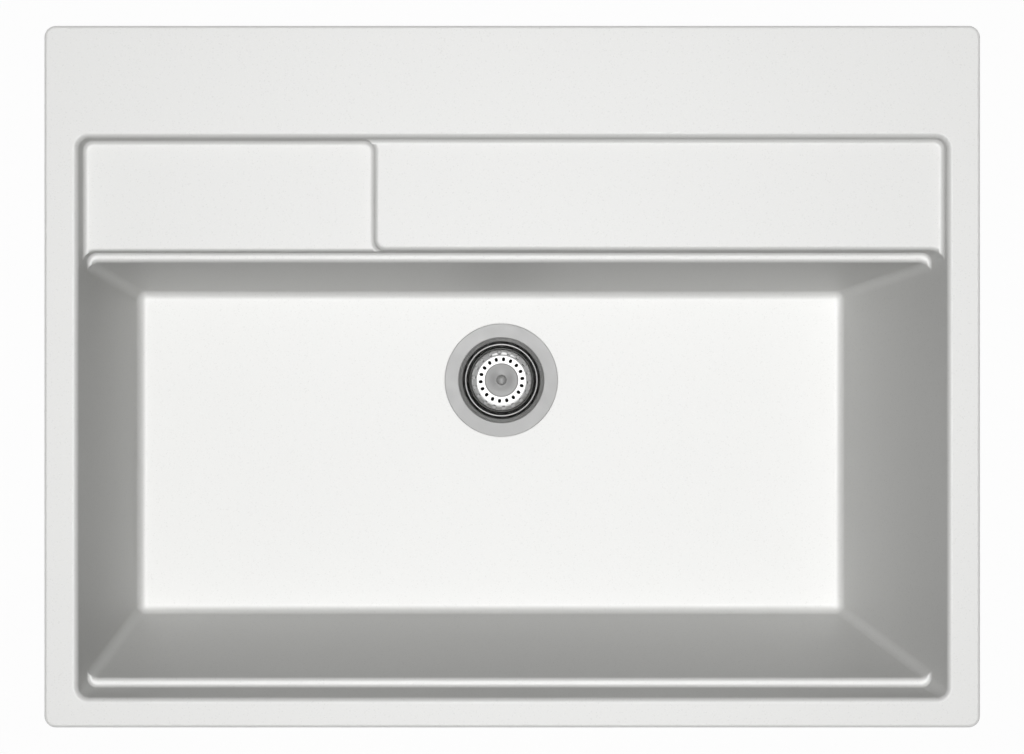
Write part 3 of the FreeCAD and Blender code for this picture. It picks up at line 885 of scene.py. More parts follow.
class Paint:
    """Every finish of the object, each built once."""

    def __init__(self) -> None:
        """Build the materials of all slots."""
        finishes = {
            "composite": CompositeFinish("white_composite", (0.60, 0.60, 0.588), (0.54, 0.54, 0.527)),
            "strainer_steel": MetalFinish("satin_steel", (0.71, 0.71, 0.705), 0.34, Grain.CIRCLES, 2600.0),
            "basket_steel": MetalFinish("polished_steel", (0.82, 0.82, 0.815), 0.10, Grain.RAYS, 2500.0),
            "plate_steel": MetalFinish("dished_steel", (0.68, 0.68, 0.675), 0.42, Grain.CIRCLES, 3500.0),
            "bolt_steel": MetalFinish("machined_steel", (0.60, 0.60, 0.60), 0.28, Grain.CIRCLES, 4000.0),
            "zinc_steel": MetalFinish("zinc_plate", (0.60, 0.62, 0.64), 0.38, Grain.TUMBLED, 700.0),
            "brass": MetalFinish("machined_brass", (0.72, 0.53, 0.26), 0.26, Grain.TUMBLED, 2200.0),
            "waste_plastic": MouldedFinish("black_plastic", (0.040, 0.040, 0.043), 0.42),
            "nut_plastic": MouldedFinish(
                "grained_black_plastic", (0.052, 0.052, 0.056), 0.55, 0.7 * MM, 0.03 * MM
            ),
            "pipe_plastic": MouldedFinish("white_plastic", (0.78, 0.78, 0.765), 0.38, 0.6 * MM, 0.006 * MM),
            "rubber": MouldedFinish("black_rubber", (0.006, 0.006, 0.006), 0.8, 0.35 * MM, 0.012 * MM, 0.1),
            "foam": FoamFinish("grey_foam", (0.10, 0.10, 0.105)),
        }
        self.materials = {slot: finish.material() for slot, finish in finishes.items()}

    def dress(self, piece: bpy.types.Object, slot: str) -> None:
        """Give a piece the finish of a slot.

        Args:
            piece: The piece.
            slot: The record's material slot.
        """
        piece.data.materials.clear()
        piece.data.materials.append(self.materials[slot])


class SubAssembly:
    """What every sub-assembly shares: fitting a piece to its body and reporting it."""

    paint: Paint

    def fit(self, piece: bpy.types.Object, node: str, body: str, slot: str) -> bpy.types.Object:
        """Let a finished piece stand for a CAD node.

        Args:
            piece: The piece.
            node: The CAD node that it replaces.
            body: The body that it rides on.
            slot: Its material slot.

        Returns:
            The same piece.
        """
        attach(piece, body)
        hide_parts(node)
        self.paint.dress(piece, slot)
        log.info("%s: %d faces on %s, %s", piece.name, len(piece.data.polygons), body, slot)
        return piece

    def carry_over(self, node: str, name: str, body: str, slot: str, edge: float) -> bpy.types.Object:
        """Take over a CAD node's shape with its edges rounded and its shading smoothed.

        Args:
            node: The CAD node.
            name: The new piece's name.
            body: The body that it rides on.
            slot: Its material slot.
            edge: Width of the rounding on its edges.

        Returns:
            The new piece.
        """
        piece = from_cad(node, name)
        clean_faces(piece)
        round_edges(piece, edge)
        soften_shading(piece)
        return self.fit(piece, node, body, slot)


# --- The moulded sink ---------------------------------------------------------------------------------
@dataclass
class SinkShell(SubAssembly):
    """The moulded sink with the foam strip under its rim and the inserts in its posts.

    Attributes:
        paint: The finishes.
    """

    paint: Paint

    def build(self) -> None:
        """Build the moulding and what is set into it."""
        shell = from_cad("sink_body", "sink_shell")
        soften_shading(shell, 30.0)
        self.fit(shell, "sink_body", "sink", "composite")
        self.carry_over("rim_strip", "rim_foam", "sink", "foam", 0.3 * MM)
        self.carry_over("clamp_inserts", "post_inserts", "sink", "brass", 0.15 * MM)


# --- Strainer and waste set -----------------------------------------------------------------------------
@dataclass
class StrainerCup(SubAssembly):
    """The pressed flange and cup, with its gaskets and the bolt that holds it.

    Attributes:
        paint: The finishes.
        lathe: Turns about the drain's axis.
        flange: Radius of the flange.
        mouth: Radius of the cup's mouth.
        wall: Radius of the cup's upright wall, inside.
        sheet: Thickness of the sheet.
        top: Height of the flange's face.
        waist: Height at which the cone meets the wall.
        floor: Height of the cup's floor.
        hole: Radius of the hole for the bolt.
        ports: Inner and outer radius of the ports.
        arm: Width of the arms between the ports.
        bend: Inside rounding at the floor and at the waist.
        lip: Roundings of the mouth's lip, above and below.
        edge: Roundings of the flange's edge, above and below.
        cutter: How far the ports' cutter reaches below and above the floor.
        port_steps: Facets along a port.
    """

    paint: Paint
    lathe: Lathe
    flange: float = 55.5
    mouth: float = 42.0
    wall: float = 37.6
    sheet: float = 1.2
    top: float = -189.4
    waist: float = -199.4
    floor: float = -227.4
    hole: float = 5.3
    ports: tuple[float, float] = (11.0, 22.0)
    arm: float = 6.0
    bend: float = 4.0
    lip: tuple[float, float] = (1.1, 0.8)
    edge: tuple[float, float] = (0.7, 0.2)
    cutter: tuple[float, float] = (3.0, 2.0)
    port_steps: int = 16

    def outline(self) -> list[Corner]:
        """The sheet's section, from the hole up the inside and back down the outside.

        Returns:
            The corners.
        """
        lean = (self.mouth - self.wall) / (self.top - self.waist)
        along = self.sheet * math.hypot(1.0, lean)
        under = self.top - self.sheet
        outer_mouth = self.mouth - lean * self.sheet + along
        outer_waist = self.waist - (along - self.sheet) / lean
        return corners_mm(
            (self.hole, self.floor),
            (self.wall, self.floor, self.bend),
            (self.wall, self.waist, self.bend),
            (self.mouth, self.top, self.lip[0]),
            (self.flange, self.top, self.edge[0]),
            (self.flange, under, self.edge[1]),
            (outer_mouth, under, self.lip[1]),
            (self.wall + self.sheet, outer_waist, self.bend + self.sheet),
            (self.wall + self.sheet, self.floor - self.sheet, self.bend + self.sheet),
            (self.hole, self.floor - self.sheet),
        )

    def port_cutter(self) -> bpy.types.Object:
        """Four slots that open the cup's floor.

        Returns:
            The cutter.
        """
        inner, outer = self.ports
        half = math.degrees(math.asin(self.arm / 2 / ((inner + outer) / 2)))
        low, high = self.floor - self.cutter[0], self.floor + self.cutter[1]
        block = corners_mm((inner, low, 1.0), (outer, low, 1.0), (outer, high), (inner, high))
        slot = traced(block, True, self.lathe.x, self.lathe.y)
        bpy.ops.mesh.select_all(action="SELECT")
        bpy.ops.mesh.edge_face_add()
        self.lathe.sweep(90.0 - 2 * half, self.port_steps)
        face_outward()
        settle(slot, "port")
        return join(self.lathe.around(slot, "port", 4, half), "ports")

    def build(self) -> None:
        """Build the cup, its gaskets and its bolt."""
        cup = self.lathe.turn("strainer_flange_and_cup", self.outline())
        cut_away(cup, self.port_cutter())
        soften_shading(cup, 35.0)
        self.fit(cup, "strainer_cup", "sink", "strainer_steel")
        self.carry_over("flange_seal", "flange_gasket", "sink", "rubber", 0.2 * MM)
        self.carry_over("body_seal", "body_gasket", "sink", "rubber", 0.3 * MM)
        self.carry_over("centre_bolt", "draw_bolt", "sink", "bolt_steel", 0.2 * MM)


@dataclass
class StrainerBasket(SubAssembly):
    """The lift-out basket with its grip plate, knob, stem and seal.

    Attributes:
        paint: The finishes.
        lathe: Turns about the drain's axis.
        sheet: Thickness of the sheet.
        base: Height of the base's underside.
        wall: Radius of the wall at the base, before its rounding.
        rounding: Outside radius of the rounding at its foot.
        rim: Radius at the rim.
        rim_top: Height of the rim's bead.
        bead: Radius of the bead.
        bead_arc: Degrees at which the bead starts, where it ends, and from one facet to the next.
        bore: Radius of the hole for the stem.
        ring: Radius of the ring of holes.
        holes: Number of holes.
        phase: Degrees from +X to the first hole.
        hole: Width and length of a hole in the base.
        foot_hole: Width of a hole in the rounded foot.
        foot_tilt: Degrees from straight down to a hole in the foot.
        hole_facets: Facets around a hole in the base and in the foot.
        hole_edge: Rounding of the holes' edges.
        cutter: Height of a hole's cutter.
        plate: Radius of the grip plate.
        plate_top: Height of the plate's rim.
        dish: Depth of the plate's dish.
        plate_sheet: Thickness of the plate.
        slope: Distance from the plate's edge in which the dish levels out.
        dish_bends: Upper roundings at the dish's foot and where it levels out.
        plate_lip: Width and height of the sloped lip at the plate's edge.
        lip_bends: Roundings of the lip, from the top down.
        skirt: How far the plate's edge reaches below the plate.
        knob: Radius of the knob.
        knob_height: Height of the knob.
        knob_edge: Height of the knob's upright edge.
        knob_ring: Width of the level ring around the knob.
    """

    paint: Paint
    lathe: Lathe
    sheet: float = 0.8
    base: float = -223.2
    wall: float = 34.4
    rounding: float = 11.0
    rim: float = 35.6
    rim_top: float = -199.5
    bead: float = 0.8
    bead_arc: tuple[int, int, int] = (-63, 238, 15)
    bore: float = 2.55
    ring: float = 20.9
    holes: int = 18
    phase: float = 4.5
    hole: tuple[float, float] = (3.4, 4.2)
    foot_hole: float = 4.4
    foot_tilt: float = 22.0
    hole_facets: tuple[int, int] = (24, 32)
    hole_edge: float = 0.22
    cutter: float = 4.0
    plate: float = 16.85
    plate_top: float = -215.4
    dish: float = 1.6
    plate_sheet: float = 1.2
    slope: float = 4.2
    dish_bends: tuple[float, float] = (3.0, 24.0)
    plate_lip: tuple[float, float] = (0.9, 0.5)
    lip_bends: tuple[float, float, float] = (0.5, 0.3, 0.2)
    skirt: float = 0.4
    knob: float = 5.3
    knob_height: float = 3.2
    knob_edge: float = 0.8
    knob_ring: float = 0.5

    def outline(self) -> list[Corner]:
        """The basket's section: underside, wall, bead, and back down the inside.

        Returns:
            The corners.
        """
        lean = (self.rim - self.wall) / (self.rim_top - self.base)
        inside = self.wall + lean * self.sheet - self.sheet * math.hypot(1.0, lean)
        middle = self.rim - self.sheet / 2
        angles = [math.radians(degrees) for degrees in range(*self.bead_arc)]
        bead = [
            (middle + self.bead * math.cos(angle), self.rim_top + self.bead * math.sin(angle))
            for angle in angles
        ]
        return corners_mm(
            (self.bore, self.base),
            (self.wall, self.base, self.rounding),
            *bead,
            (inside, self.base + self.sheet, self.rounding - self.sheet),
            (self.bore, self.base + self.sheet),
        )

    def base_hole(self) -> bpy.types.Object:
        """The cutter of one hole in the base, on the +X side.

        Returns:
            The cutter.
        """
        width, length = self.hole
        middle = self.ring - (length - width) / 2
        place = (self.lathe.x + middle * MM, self.lathe.y, self.base * MM)
        clear = 0.01 * MM
        put_down()
        bpy.ops.mesh.primitive_cylinder_add(
            vertices=self.hole_facets[0], radius=width / 2 * MM, depth=self.cutter * MM, location=place
        )
        hole = settle(bpy.context.object, "base_hole")
        choose_vertices(hole, lambda vertex: vertex.x > place[0] + clear)
        bpy.ops.transform.translate(value=((length - width) * MM, 0.0, 0.0))
        return hole

    def foot_hole_cutter(self) -> bpy.types.Object:
        """The cutter of one hole in the rounded foot, square to its face, on the +X side.

        Returns:
            The cutter.
        """
        lean = (self.rim - self.wall) / (self.rim_top - self.base)
        middle = self.wall + self.rounding * (lean - math.hypot(1.0, lean))
        tilt = math.radians(self.foot_tilt)
        reach = self.rounding - self.sheet / 2
        put_down()
        bpy.ops.mesh.primitive_cylinder_add(
            vertices=self.hole_facets[1],
            radius=self.foot_hole / 2 * MM,
            depth=self.cutter * MM,
            location=(
                self.lathe.x + (middle + reach * math.sin(tilt)) * MM,
                self.lathe.y,
                (self.base + self.rounding - reach * math.cos(tilt)) * MM,
            ),
            rotation=(0.0, -tilt, 0.0),
        )
        return settle(bpy.context.object, "foot_hole")

    def hole_cutter(self) -> bpy.types.Object:
        """All holes as one cutter, with those in the foot half a step on from those in the base.

        Returns:
            The cutter.
        """
        half_step = 180.0 / self.holes
        base = self.lathe.around(self.base_hole(), "base_hole", self.holes, self.phase)
        foot = self.lathe.around(self.foot_hole_cutter(), "foot_hole", self.holes, self.phase + half_step)
        return join([*base, *foot], "holes")

    def build_basket(self) -> None:
        """Turn the basket, cut its holes and round their edges."""
        basket = self.lathe.turn("basket_shell", self.outline())
        cut_away(basket, self.hole_cutter())
        round_edges(basket, self.hole_edge * MM, 50.0)
        soften_shading(basket, 35.0)
        self.fit(basket, "basket", "basket", "basket_steel")

    def build_plate(self) -> None:
        """Turn the dished grip plate and the knob on it."""
        top, dish, sheet = self.plate_top, self.plate_top - self.dish, self.plate_sheet
        foot, level = self.knob + self.knob_ring, self.plate - self.slope
        foot_bend, level_bend = self.dish_bends
        lip_width, lip_height = self.plate_lip
        section = corners_mm(
            (self.bore, dish),
            (foot, dish, foot_bend),
            (level, top, level_bend),
            (self.plate - lip_width, top, self.lip_bends[0]),
            (self.plate, top - lip_height, self.lip_bends[1]),
            (self.plate, top - sheet - self.skirt, self.lip_bends[2]),
            (level, top - sheet, level_bend + sheet),
            (foot, dish - sheet, foot_bend - sheet),
            (self.bore, dish - sheet),
        )
        plate = self.lathe.turn("grip_plate", section)
        soften_shading(plate, 35.0)
        self.fit(plate, "basket_plate", "basket", "plate_steel")
        rise = self.knob_height - self.knob_edge
        radius = (self.knob ** 2 + rise ** 2) / (2 * rise)
        middle = dish + self.knob_height - radius
        angles = [math.radians(degrees) for degrees in range(0, 42, 3)]
        dome = [(radius * math.sin(angle), middle + radius * math.cos(angle)) for angle in angles]
        dome = [point for point in dome if point[0] < self.knob - 0.1]
        edge = [(self.knob, dish + self.knob_edge, 0.3), (self.knob, dish), (0.0, dish)]
        knob = self.lathe.turn("grip_knob", corners_mm(*dome, *edge), closed=False)
        soften_shading(knob, 50.0)
        self.fit(knob, "basket_knob", "basket", "plate_steel")

    def build(self) -> None:
        """Build the basket and what is fixed to it."""
        self.build_basket()
        self.build_plate()
        self.carry_over("basket_spacer", "plate_spacer", "basket", "plate_steel", 0.15 * MM)
        self.carry_over("basket_stem", "stem", "basket", "bolt_steel", 0.2 * MM)
        self.carry_over("stem_clip", "stem_spring_clip", "basket", "brass", 0.15 * MM)
        self.carry_over("basket_seal", "basket_rubber", "basket", "rubber", 0.5 * MM)


@dataclass
class WasteSet(SubAssembly):
    """The moulded funnel under the bowl with its outlet, union nut and tail pipe.

    Attributes:
        paint: The finishes.
        lathe: Turns about the drain's axis.
        top: Height of the funnel's flange.
        flange: Radius of the flange.
        radius: Inside radius of the funnel.
        wall: Thickness of its wall.
        shoulder: Height where the cone starts.
        throat: Height where the outlet starts.
        outlet_end: Height of the outlet's end.
        bore: Radius of the outlet's bore.
        crest: Radius of the outlet's thread.
        thread_depth: Depth of the outlet's thread.
        pitch: Pitch of the outlet's thread.
        hub: Radius of the hub.
        hub_ends: Heights of the hub's ends.
        hub_bore: Radius of the bolt's hole.
        insert: Radius and length of the brass insert.
        rib: Thickness of a rib.
        flange_height: Height of the flange's edge.
        flange_edges: Roundings of the funnel's mouth and of the flange's edge, from the top down.
        corner: Rounding under the flange and at the throat.
        cone: Rounding where the cone starts.
        end_edges: Roundings of the outlet's end, outside and inside.
        overlap: How far a rib reaches into the hub and into the wall.
        thread_ends: Bare lengths of the outlet below and above its thread.
    """

    paint: Paint
    lathe: Lathe
    top: float = -200.5
    flange: float = 56.0
    radius: float = 42.0
    wall: float = 3.0
    shoulder: float = -234.5
    throat: float = -248.5
    outlet_end: float = -274.5
    bore: float = 20.0
    crest: float = 23.9
    thread_depth: float = 1.1
    pitch: float = 3.0
    hub: float = 10.0
    hub_ends: tuple[float, float] = (-262.6, -242.6)
    hub_bore: float = 5.3
    insert: tuple[float, float] = (7.0, 10.0)
    rib: float = 3.5
    flange_height: float = 4.0
    flange_edges: tuple[float, float, float] = (0.5, 0.6, 0.8)
    corner: float = 2.0
    cone: float = 3.0
    end_edges: tuple[float, float] = (0.5, 0.3)
    overlap: float = 0.5
    thread_ends: tuple[float, float] = (1.0, 2.5)

    def funnel(self) -> bpy.types.Object:
        """The funnel's wall, from its flange to the end of the outlet.

        Returns:
            The piece.
        """
        root = self.crest - self.thread_depth
        outer = self.radius + self.wall
        section = corners_mm(
            (self.radius, self.top, self.flange_edges[0]),
            (self.flange, self.top, self.flange_edges[1]),
            (self.flange, self.top - self.flange_height, self.flange_edges[2]),
            (outer, self.top - self.flange_height, self.corner),
            (outer, self.shoulder - self.wall / 2, self.cone),
            (root, self.throat - self.wall / 2, self.corner),
            (root, self.outlet_end, self.end_edges[0]),
            (self.bore, self.outlet_end, self.end_edges[1]),
            (self.bore, self.throat, self.corner),
            (self.radius, self.shoulder, self.cone),
        )
        return self.lathe.turn("funnel", section)

    def spider(self) -> list[bpy.types.Object]:
        """The hub and the four ribs that carry it.

        Returns:
            The pieces.
        """
        low, high = self.hub_ends
        insert, depth = self.insert
        hub = self.lathe.turn(
            "hub",
            corners_mm(
                (self.hub_bore, high, 0.3),
                (self.hub, high, 0.8),
                (self.hub, low, 0.5),
                (insert, low, 0.2),
                (insert, low + depth),
                (self.hub_bore, low + depth),
            ),
        )
        lean = (self.radius - self.bore) / (self.shoulder - self.throat)
        reach = self.bore + lean * (high - self.throat)
        inner, outer = self.hub - self.overlap, self.bore + self.overlap
        web = corners_mm(
            (inner, low), (outer, low), (outer, self.throat), (reach + self.overlap, high), (inner, high)
        )
        rib = traced(web, True, self.lathe.x, self.lathe.y - self.rib / 2 * MM)
        bpy.ops.mesh.select_all(action="SELECT")
        bpy.ops.mesh.edge_face_add()
        bpy.ops.mesh.extrude_region_move(TRANSFORM_OT_translate={"value": (0.0, self.rib * MM, 0.0)})
        face_outward()
        settle(rib, "rib")
        return [hub, *self.lathe.around(rib, "rib", 4)]

    def build(self) -> None:
        """Build the waste body and fit the pieces below it."""
        below, above = self.thread_ends
        turns = int((self.throat - above - self.outlet_end) / self.pitch)
        thread = self.lathe.thread(
            "outlet_thread",
            (self.outlet_end + below) * MM,
            turns - 1,
            self.pitch * MM,
            self.crest * MM,
            (self.thread_depth + 0.1) * MM,
            steps=72,
        )
        body = join([self.funnel(), *self.spider(), thread], "waste_funnel")
        soften_shading(body, 35.0)
        self.fit(body, "waste_body", "sink", "waste_plastic")
        self.carry_over("body_insert", "hub_insert", "sink", "brass", 0.2 * MM)
        self.carry_over("outlet_seal", "outlet_washer", "sink", "rubber", 0.3 * MM)
        self.carry_over("outlet_nut", "union_nut", "sink", "nut_plastic", 0.5 * MM)
        self.carry_over("tail_pipe", "tail_pipe_tube", "sink", "pipe_plastic", 0.3 * MM)


# --- Clamps ---------------------------------------------------------------------------------------------
@dataclass
class ClampSet(SubAssembly):
    """Eight clamps: a threaded screw, a washer and a bent claw each.

    Attributes:
        paint: The finishes.
        places: Where the screws' axes are.
        head: Radius of the screw's head.
        head_ends: Heights of the head's ends.
        tip: Height of the screw's end.
        crest: Radius of the thread.
        pitch: Pitch of the thread.
        depth: Depth of the thread.
        recess: Width, length and depth of the cross recess.
        recess_taper: Share of its width and length at the recess's bottom.
        head_edges: Roundings of the head, below and above.
        neck: Height of the cone between the head and the thread's root, and at the tip.
        point: How much narrower the tip is than the thread's root.
        thread_ends: Bare lengths of the shank at the head and at the tip.
    """

    paint: Paint
    places: list[tuple[float, float]] = field(
        default_factory=lambda: [
            (-220.0, -284.0), (220.0, -284.0), (384.0, -150.0), (384.0, 150.0),
            (220.0, 284.0), (-220.0, 284.0), (-384.0, 150.0), (-384.0, -150.0),
        ]
    )
    head: float = 3.75
    head_ends: tuple[float, float] = (-68.3, -65.5)
    tip: float = -25.5
    crest: float = 2.0
    pitch: float = 0.7
    depth: float = 0.38
    recess: tuple[float, float, float] = (1.0, 4.4, 1.6)
    recess_taper: float = 0.6
    head_edges: tuple[float, float] = (1.4, 0.25)
    neck: float = 0.5
    point: float = 0.6
    thread_ends: tuple[float, float] = (0.3, 0.9)

    def screw(self) -> bpy.types.Object:
        """One pan-head screw on the Z axis.

        Returns:
            The screw.
        """
        lathe = Lathe(steps=40)
        low, high = self.head_ends
        root = self.crest - self.depth
        body = lathe.turn(
            "screw_head",
            corners_mm(
                (0.0, low),
                (self.head, low, self.head_edges[0]),
                (self.head, high, self.head_edges[1]),
                (self.crest, high),
                (root, high + self.neck),
                (root, self.tip - self.neck),
                (root - self.point, self.tip),
                (0.0, self.tip),
            ),
            closed=False,
        )
        width, length, depth = self.recess
        over = 1.0
        for turn in (0.0, 90.0):
            put_down()
            bpy.ops.mesh.primitive_cube_add(size=1.0, location=(0.0, 0.0, (low + depth / 2 - over / 2) * MM))
            cutter = bpy.context.object
            cutter.scale = (length * MM, width * MM, (depth + over) * MM)
            settle(cutter, "recess")
            choose_vertices(cutter, lambda place: place.z > (low + depth / 2) * MM)
            bpy.ops.transform.resize(
                value=(self.recess_taper, self.recess_taper, 1.0),
                center_override=(0.0, 0.0, (low + depth) * MM),
            )
            turned = copy_at(cutter, "recess_bar", turn=turn)
            bpy.data.objects.remove(cutter, do_unlink=True)
            cut_away(body, turned)
        bare, end = self.thread_ends
        thread = lathe.thread(
            "screw_thread",
            (high + bare) * MM,
            int((self.tip - end - high - bare) / self.pitch),
            self.pitch * MM,
            self.crest * MM,
            self.depth * 1.05 * MM,
            steps=18,
        )
        screw = join([body, thread], "screw")
        soften_shading(screw, 40.0)
        return screw

    def build(self) -> None:
        """Build the eight clamps."""
        screw = self.screw()
        for number, (x, y) in enumerate(self.places, start=1):
            copy = copy_at(screw, f"pan_screw_{number}", shift=(x * MM, y * MM, 0.0))
            soften_shading(copy, 40.0)
            body = f"clamp_{number}"
            self.fit(copy, f"clamp_screw_{number}", f"{body}_screw", "zinc_steel")
            for kind, rides, edge in (("washer", "slide", 0.12 * MM), ("claw", "claw", 0.25 * MM)):
                self.carry_over(
                    f"clamp_{kind}_{number}", f"{kind}_{number}", f"{body}_{rides}", "zinc_steel", edge
                )
        bpy.data.objects.remove(screw, do_unlink=True)


# --- Studio ---------------------------------------------------------------------------------------------
@dataclass(frozen=True)
class SoftBox:
    """A soft bright patch of the studio's ceiling, seen in gloss only.

    Attributes:
        lean: Angle off straight up, in degrees.
        bearing: Which way it lies, in degrees from +X, counter-clockwise from above.
        reach: Angle from its middle to where it starts to fade, in degrees.
        fade: Width of the fading edge, in degrees.
        strength: Brightness in its middle, where 1 is white.
    """

    lean: float
    bearing: float
    reach: float
    fade: float
    strength: float

    def direction(self) -> tuple[float, float, float]:
        """The unit vector to its middle.

        Returns:
            The vector.
        """
        lean, bearing = math.radians(self.lean), math.radians(self.bearing)
        return (math.sin(lean) * math.cos(bearing), math.sin(lean) * math.sin(bearing), math.cos(lean))


@dataclass(frozen=True)
class Studio:
    """Pale floor, soft light and the camera straight above the sink.

    Attributes:
        floor_size: Length of the floor's side.
        camera_height: Height of the camera above the origin.
        camera_shift: Where the camera stands in plan.
        lens: Focal length in millimetres on a 36 mm wide picture.
        overhead: Strength of the overhead light.
        overhead_angle: Apparent size of the overhead light, in degrees.
        fill: Strength of the light from all round.
        side_fill: Strength of the light from low all round.
        ceiling: Brightness of the ceiling between its soft boxes.
        boxes: The ceiling's soft boxes.
        camera_white: Share of the floor's own white that the camera sees.
        paper: Brightness of the floor's paper.
        lamp_height: Height at which the overhead light hangs.
        side_band: Rises, as the sine of the angle, between which the light changes from low to overhead.
        ceiling_band: Rises between which gloss changes from the white horizon to the ceiling.
    """

    floor_size: float = 12.0
    camera_height: float = 1.348
    camera_shift: tuple[float, float] = (-0.0002, -0.0003)
    lens: float = 55.11
    overhead: float = 2.79
    overhead_angle: float = 8.0
    fill: float = 0.04
    side_fill: float = 0.15
    ceiling: float = 0.44
    boxes: tuple[SoftBox, ...] = (
        SoftBox(2.0, 90.0, 4.0, 4.0, 1.8),
        SoftBox(14.0, 90.0, 10.0, 12.0, 1.0),
        SoftBox(32.0, 266.0, 10.0, 8.0, 1.2),
        SoftBox(60.0, 55.0, 14.0, 10.0, 1.4),
    )
    camera_white: float = 0.92
    paper: float = 0.80
    lamp_height: float = 3.0
    side_band: tuple[float, float] = (0.05, 0.2)
    ceiling_band: tuple[float, float] = (0.36, 0.6)

    def share(self, tree: bpy.types.NodeTree, *rays: str) -> bpy.types.NodeSocket:
        """1 for rays of the named kinds, else 0.

        Args:
            tree: The node tree.
            rays: Names of the light path's outputs.

        Returns:
            The socket.
        """
        path = tree.nodes.new("ShaderNodeLightPath")
        total = path.outputs[rays[0]]
        for name in rays[1:]:
            most = tree.nodes.new("ShaderNodeMath")
            most.operation = "MAXIMUM"
            tree.links.new(total, most.inputs[0])
            tree.links.new(path.outputs[name], most.inputs[1])
            total = most.outputs["Value"]
        return total

    def ramp(self, tree: bpy.types.NodeTree, value: bpy.types.NodeSocket, start: float, end: float,
             low: float, high: float) -> bpy.types.NodeSocket:
        """A smooth step from low at start to high at end.

        Args:
            tree: The node tree.
            value: What is mapped.
            start: Value that gives low.
            end: Value that gives high.
            low: Result at start.
            high: Result at end.

        Returns:
            The mapped value.
        """
        node = tree.nodes.new("ShaderNodeMapRange")
        node.interpolation_type = "SMOOTHSTEP"
        for name, number in (("From Min", start), ("From Max", end), ("To Min", low), ("To Max", high)):
            node.inputs[name].default_value = number
        tree.links.new(value, node.inputs["Value"])
        return node.outputs["Result"]

    def blend(self, tree: bpy.types.NodeTree, share: bpy.types.NodeSocket, first: bpy.types.NodeSocket,
              second: Optional[bpy.types.NodeSocket]) -> bpy.types.NodeSocket:
        """Mix two brightnesses, the second of which may be plain white.

        Args:
            tree: The node tree.
            share: Share of the second.
            first: The first brightness.
            second: The second, or None for white.

        Returns:
            The mixed brightness.
        """
        node = tree.nodes.new("ShaderNodeMix")
        tree.links.new(share, node.inputs["Factor"])
        tree.links.new(first, node.inputs["A"])
        if second is None:
            node.inputs["B"].default_value = 1.0
        else:
            tree.links.new(second, node.inputs["B"])
        return node.outputs["Result"]

    def floor(self, height: float) -> None:
        """Lay the floor.

        Args:
            height: Height at which the object stands.
        """
        put_down()
        bpy.ops.mesh.primitive_plane_add(size=self.floor_size, location=(0.0, 0.0, height))
        floor = settle(bpy.context.object, "studio_floor")
        material = bpy.data.materials.new("studio_paper")
        material.use_nodes = True
        tree = material.node_tree
        paper = tree.nodes["Principled BSDF"]
        paper.inputs["Base Color"].default_value = (self.paper, self.paper, self.paper, 1.0)
        paper.inputs["Roughness"].default_value = 0.9
        paper.inputs["Specular IOR Level"].default_value = 0.0
        glow = tree.nodes.new("ShaderNodeEmission")
        glow.inputs["Strength"].default_value = 1.0
        part = tree.nodes.new("ShaderNodeMath")
        part.operation = "MULTIPLY"
        part.inputs[1].default_value = self.camera_white
        seen = self.share(tree, "Is Camera Ray", "Is Glossy Ray", "Is Transmission Ray")
        tree.links.new(seen, part.inputs[0])
        mix = tree.nodes.new("ShaderNodeMixShader")
        tree.links.new(part.outputs["Value"], mix.inputs["Fac"])
        tree.links.new(paper.outputs["BSDF"], mix.inputs[1])
        tree.links.new(glow.outputs["Emission"], mix.inputs[2])
        tree.links.new(mix.outputs["Shader"], tree.nodes["Material Output"].inputs["Surface"])
        floor.data.materials.append(material)
        floor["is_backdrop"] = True

    def overhead_light(self, name: str, lit: Sequence[bpy.types.Object], glare: bool) -> None:
        """Hang an overhead light for some of the pieces.

        Args:
            name: The light's name.
            lit: The pieces that it lights.
            glare: Whether gloss shows the light itself.
        """
        put_down()
        bpy.ops.object.light_add(type="SUN", location=(0.0, 0.0, self.lamp_height))
        lamp = bpy.context.object
        lamp.name = name
        lamp.data.energy = self.overhead
        lamp.data.angle = math.radians(self.overhead_angle)
        lamp.visible_glossy = glare
        lamp.light_linking.receiver_collection = bpy.data.collections.new(f"{name}_pieces")
        for piece in lit:
            lamp.light_linking.receiver_collection.objects.link(piece)

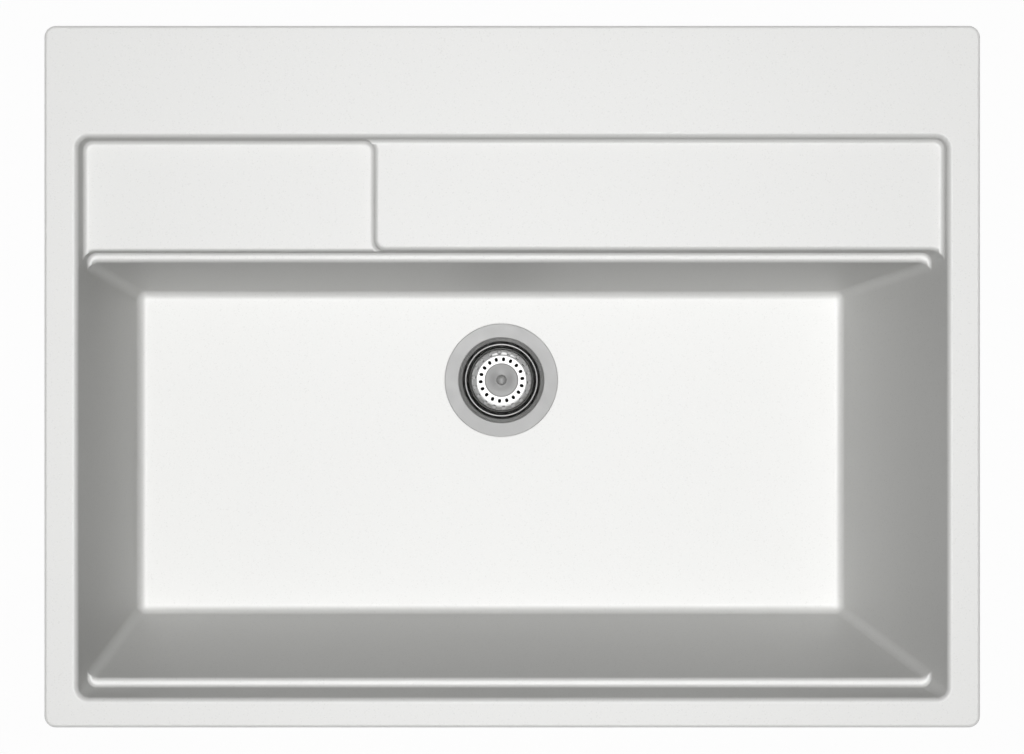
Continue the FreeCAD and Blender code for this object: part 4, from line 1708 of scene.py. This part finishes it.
    def air(self) -> None:
        """Set the light from all round: dim overhead, brighter low down, white to the camera."""
        world = bpy.data.worlds.new("studio_air")
        bpy.context.scene.world = world
        world.use_nodes = True
        tree = world.node_tree
        direction = tree.nodes.new("ShaderNodeTexCoord").outputs["Generated"]
        apart = tree.nodes.new("ShaderNodeSeparateXYZ")
        tree.links.new(direction, apart.inputs["Vector"])
        matt = self.ramp(tree, apart.outputs["Z"], *self.side_band, self.side_fill, self.fill)
        gloss = self.ramp(tree, apart.outputs["Z"], *self.ceiling_band, 1.0, self.ceiling)
        for box in self.boxes:
            near = tree.nodes.new("ShaderNodeVectorMath")
            near.operation = "DOT_PRODUCT"
            near.inputs[1].default_value = box.direction()
            tree.links.new(direction, near.inputs[0])
            start, end = math.cos(math.radians(box.reach + box.fade)), math.cos(math.radians(box.reach))
            patch = self.ramp(tree, near.outputs["Value"], start, end, 0.0, box.strength)
            most = tree.nodes.new("ShaderNodeMath")
            most.operation = "MAXIMUM"
            tree.links.new(gloss, most.inputs[0])
            tree.links.new(patch, most.inputs[1])
            gloss = most.outputs["Value"]
        inner = self.blend(tree, self.share(tree, "Is Glossy Ray"), matt, gloss)
        direct = self.share(tree, "Is Camera Ray", "Is Transmission Ray")
        backdrop = tree.nodes["Background"]
        backdrop.inputs["Color"].default_value = (1.0, 1.0, 1.0, 1.0)
        tree.links.new(self.blend(tree, direct, inner, None), backdrop.inputs["Strength"])

    def camera(self) -> None:
        """Set the camera straight above, with +Y up in the picture."""
        put_down()
        bpy.ops.object.camera_add(location=(*self.camera_shift, self.camera_height), rotation=(0.0, 0.0, 0.0))
        camera = bpy.context.object
        camera.name = "overhead_camera"
        camera.data.sensor_width = 36.0
        camera.data.sensor_fit = "HORIZONTAL"
        camera.data.lens = self.lens
        bpy.context.scene.camera = camera

    def build(self, height: float, moulding: Sequence[bpy.types.Object]) -> None:
        """Set up the whole studio.

        Args:
            height: Height at which the object stands.
            moulding: The satin pieces, which show the overhead light's sheen.
        """
        self.floor(height)
        pieces = [piece for piece in bpy.context.scene.objects if piece.type == "MESH"]
        satin = [piece for piece in pieces if piece in moulding]
        self.overhead_light("moulding_light", satin, True)
        self.overhead_light("fittings_light", [piece for piece in pieces if piece not in satin], False)
        self.air()
        self.camera()
        bpy.context.scene.view_settings.view_transform = "Standard"


def main() -> None:
    """Build every sub-assembly and the studio."""
    logging.basicConfig(level=logging.INFO, format="%(name)s: %(message)s")
    cad_box = [list(corner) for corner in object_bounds()]
    paint = Paint()
    lathe = Lathe(DRAIN_X, DRAIN_Y)
    for part in (
        SinkShell(paint),
        StrainerCup(paint, lathe),
        StrainerBasket(paint, lathe),
        WasteSet(paint, lathe),
        ClampSet(paint),
    ):
        part.build()
        log.info("%s is done", type(part).__name__)
    Studio().build(cad_box[0][2], [bpy.data.objects["sink_shell"]])


if __name__ == "__main__":
    main()
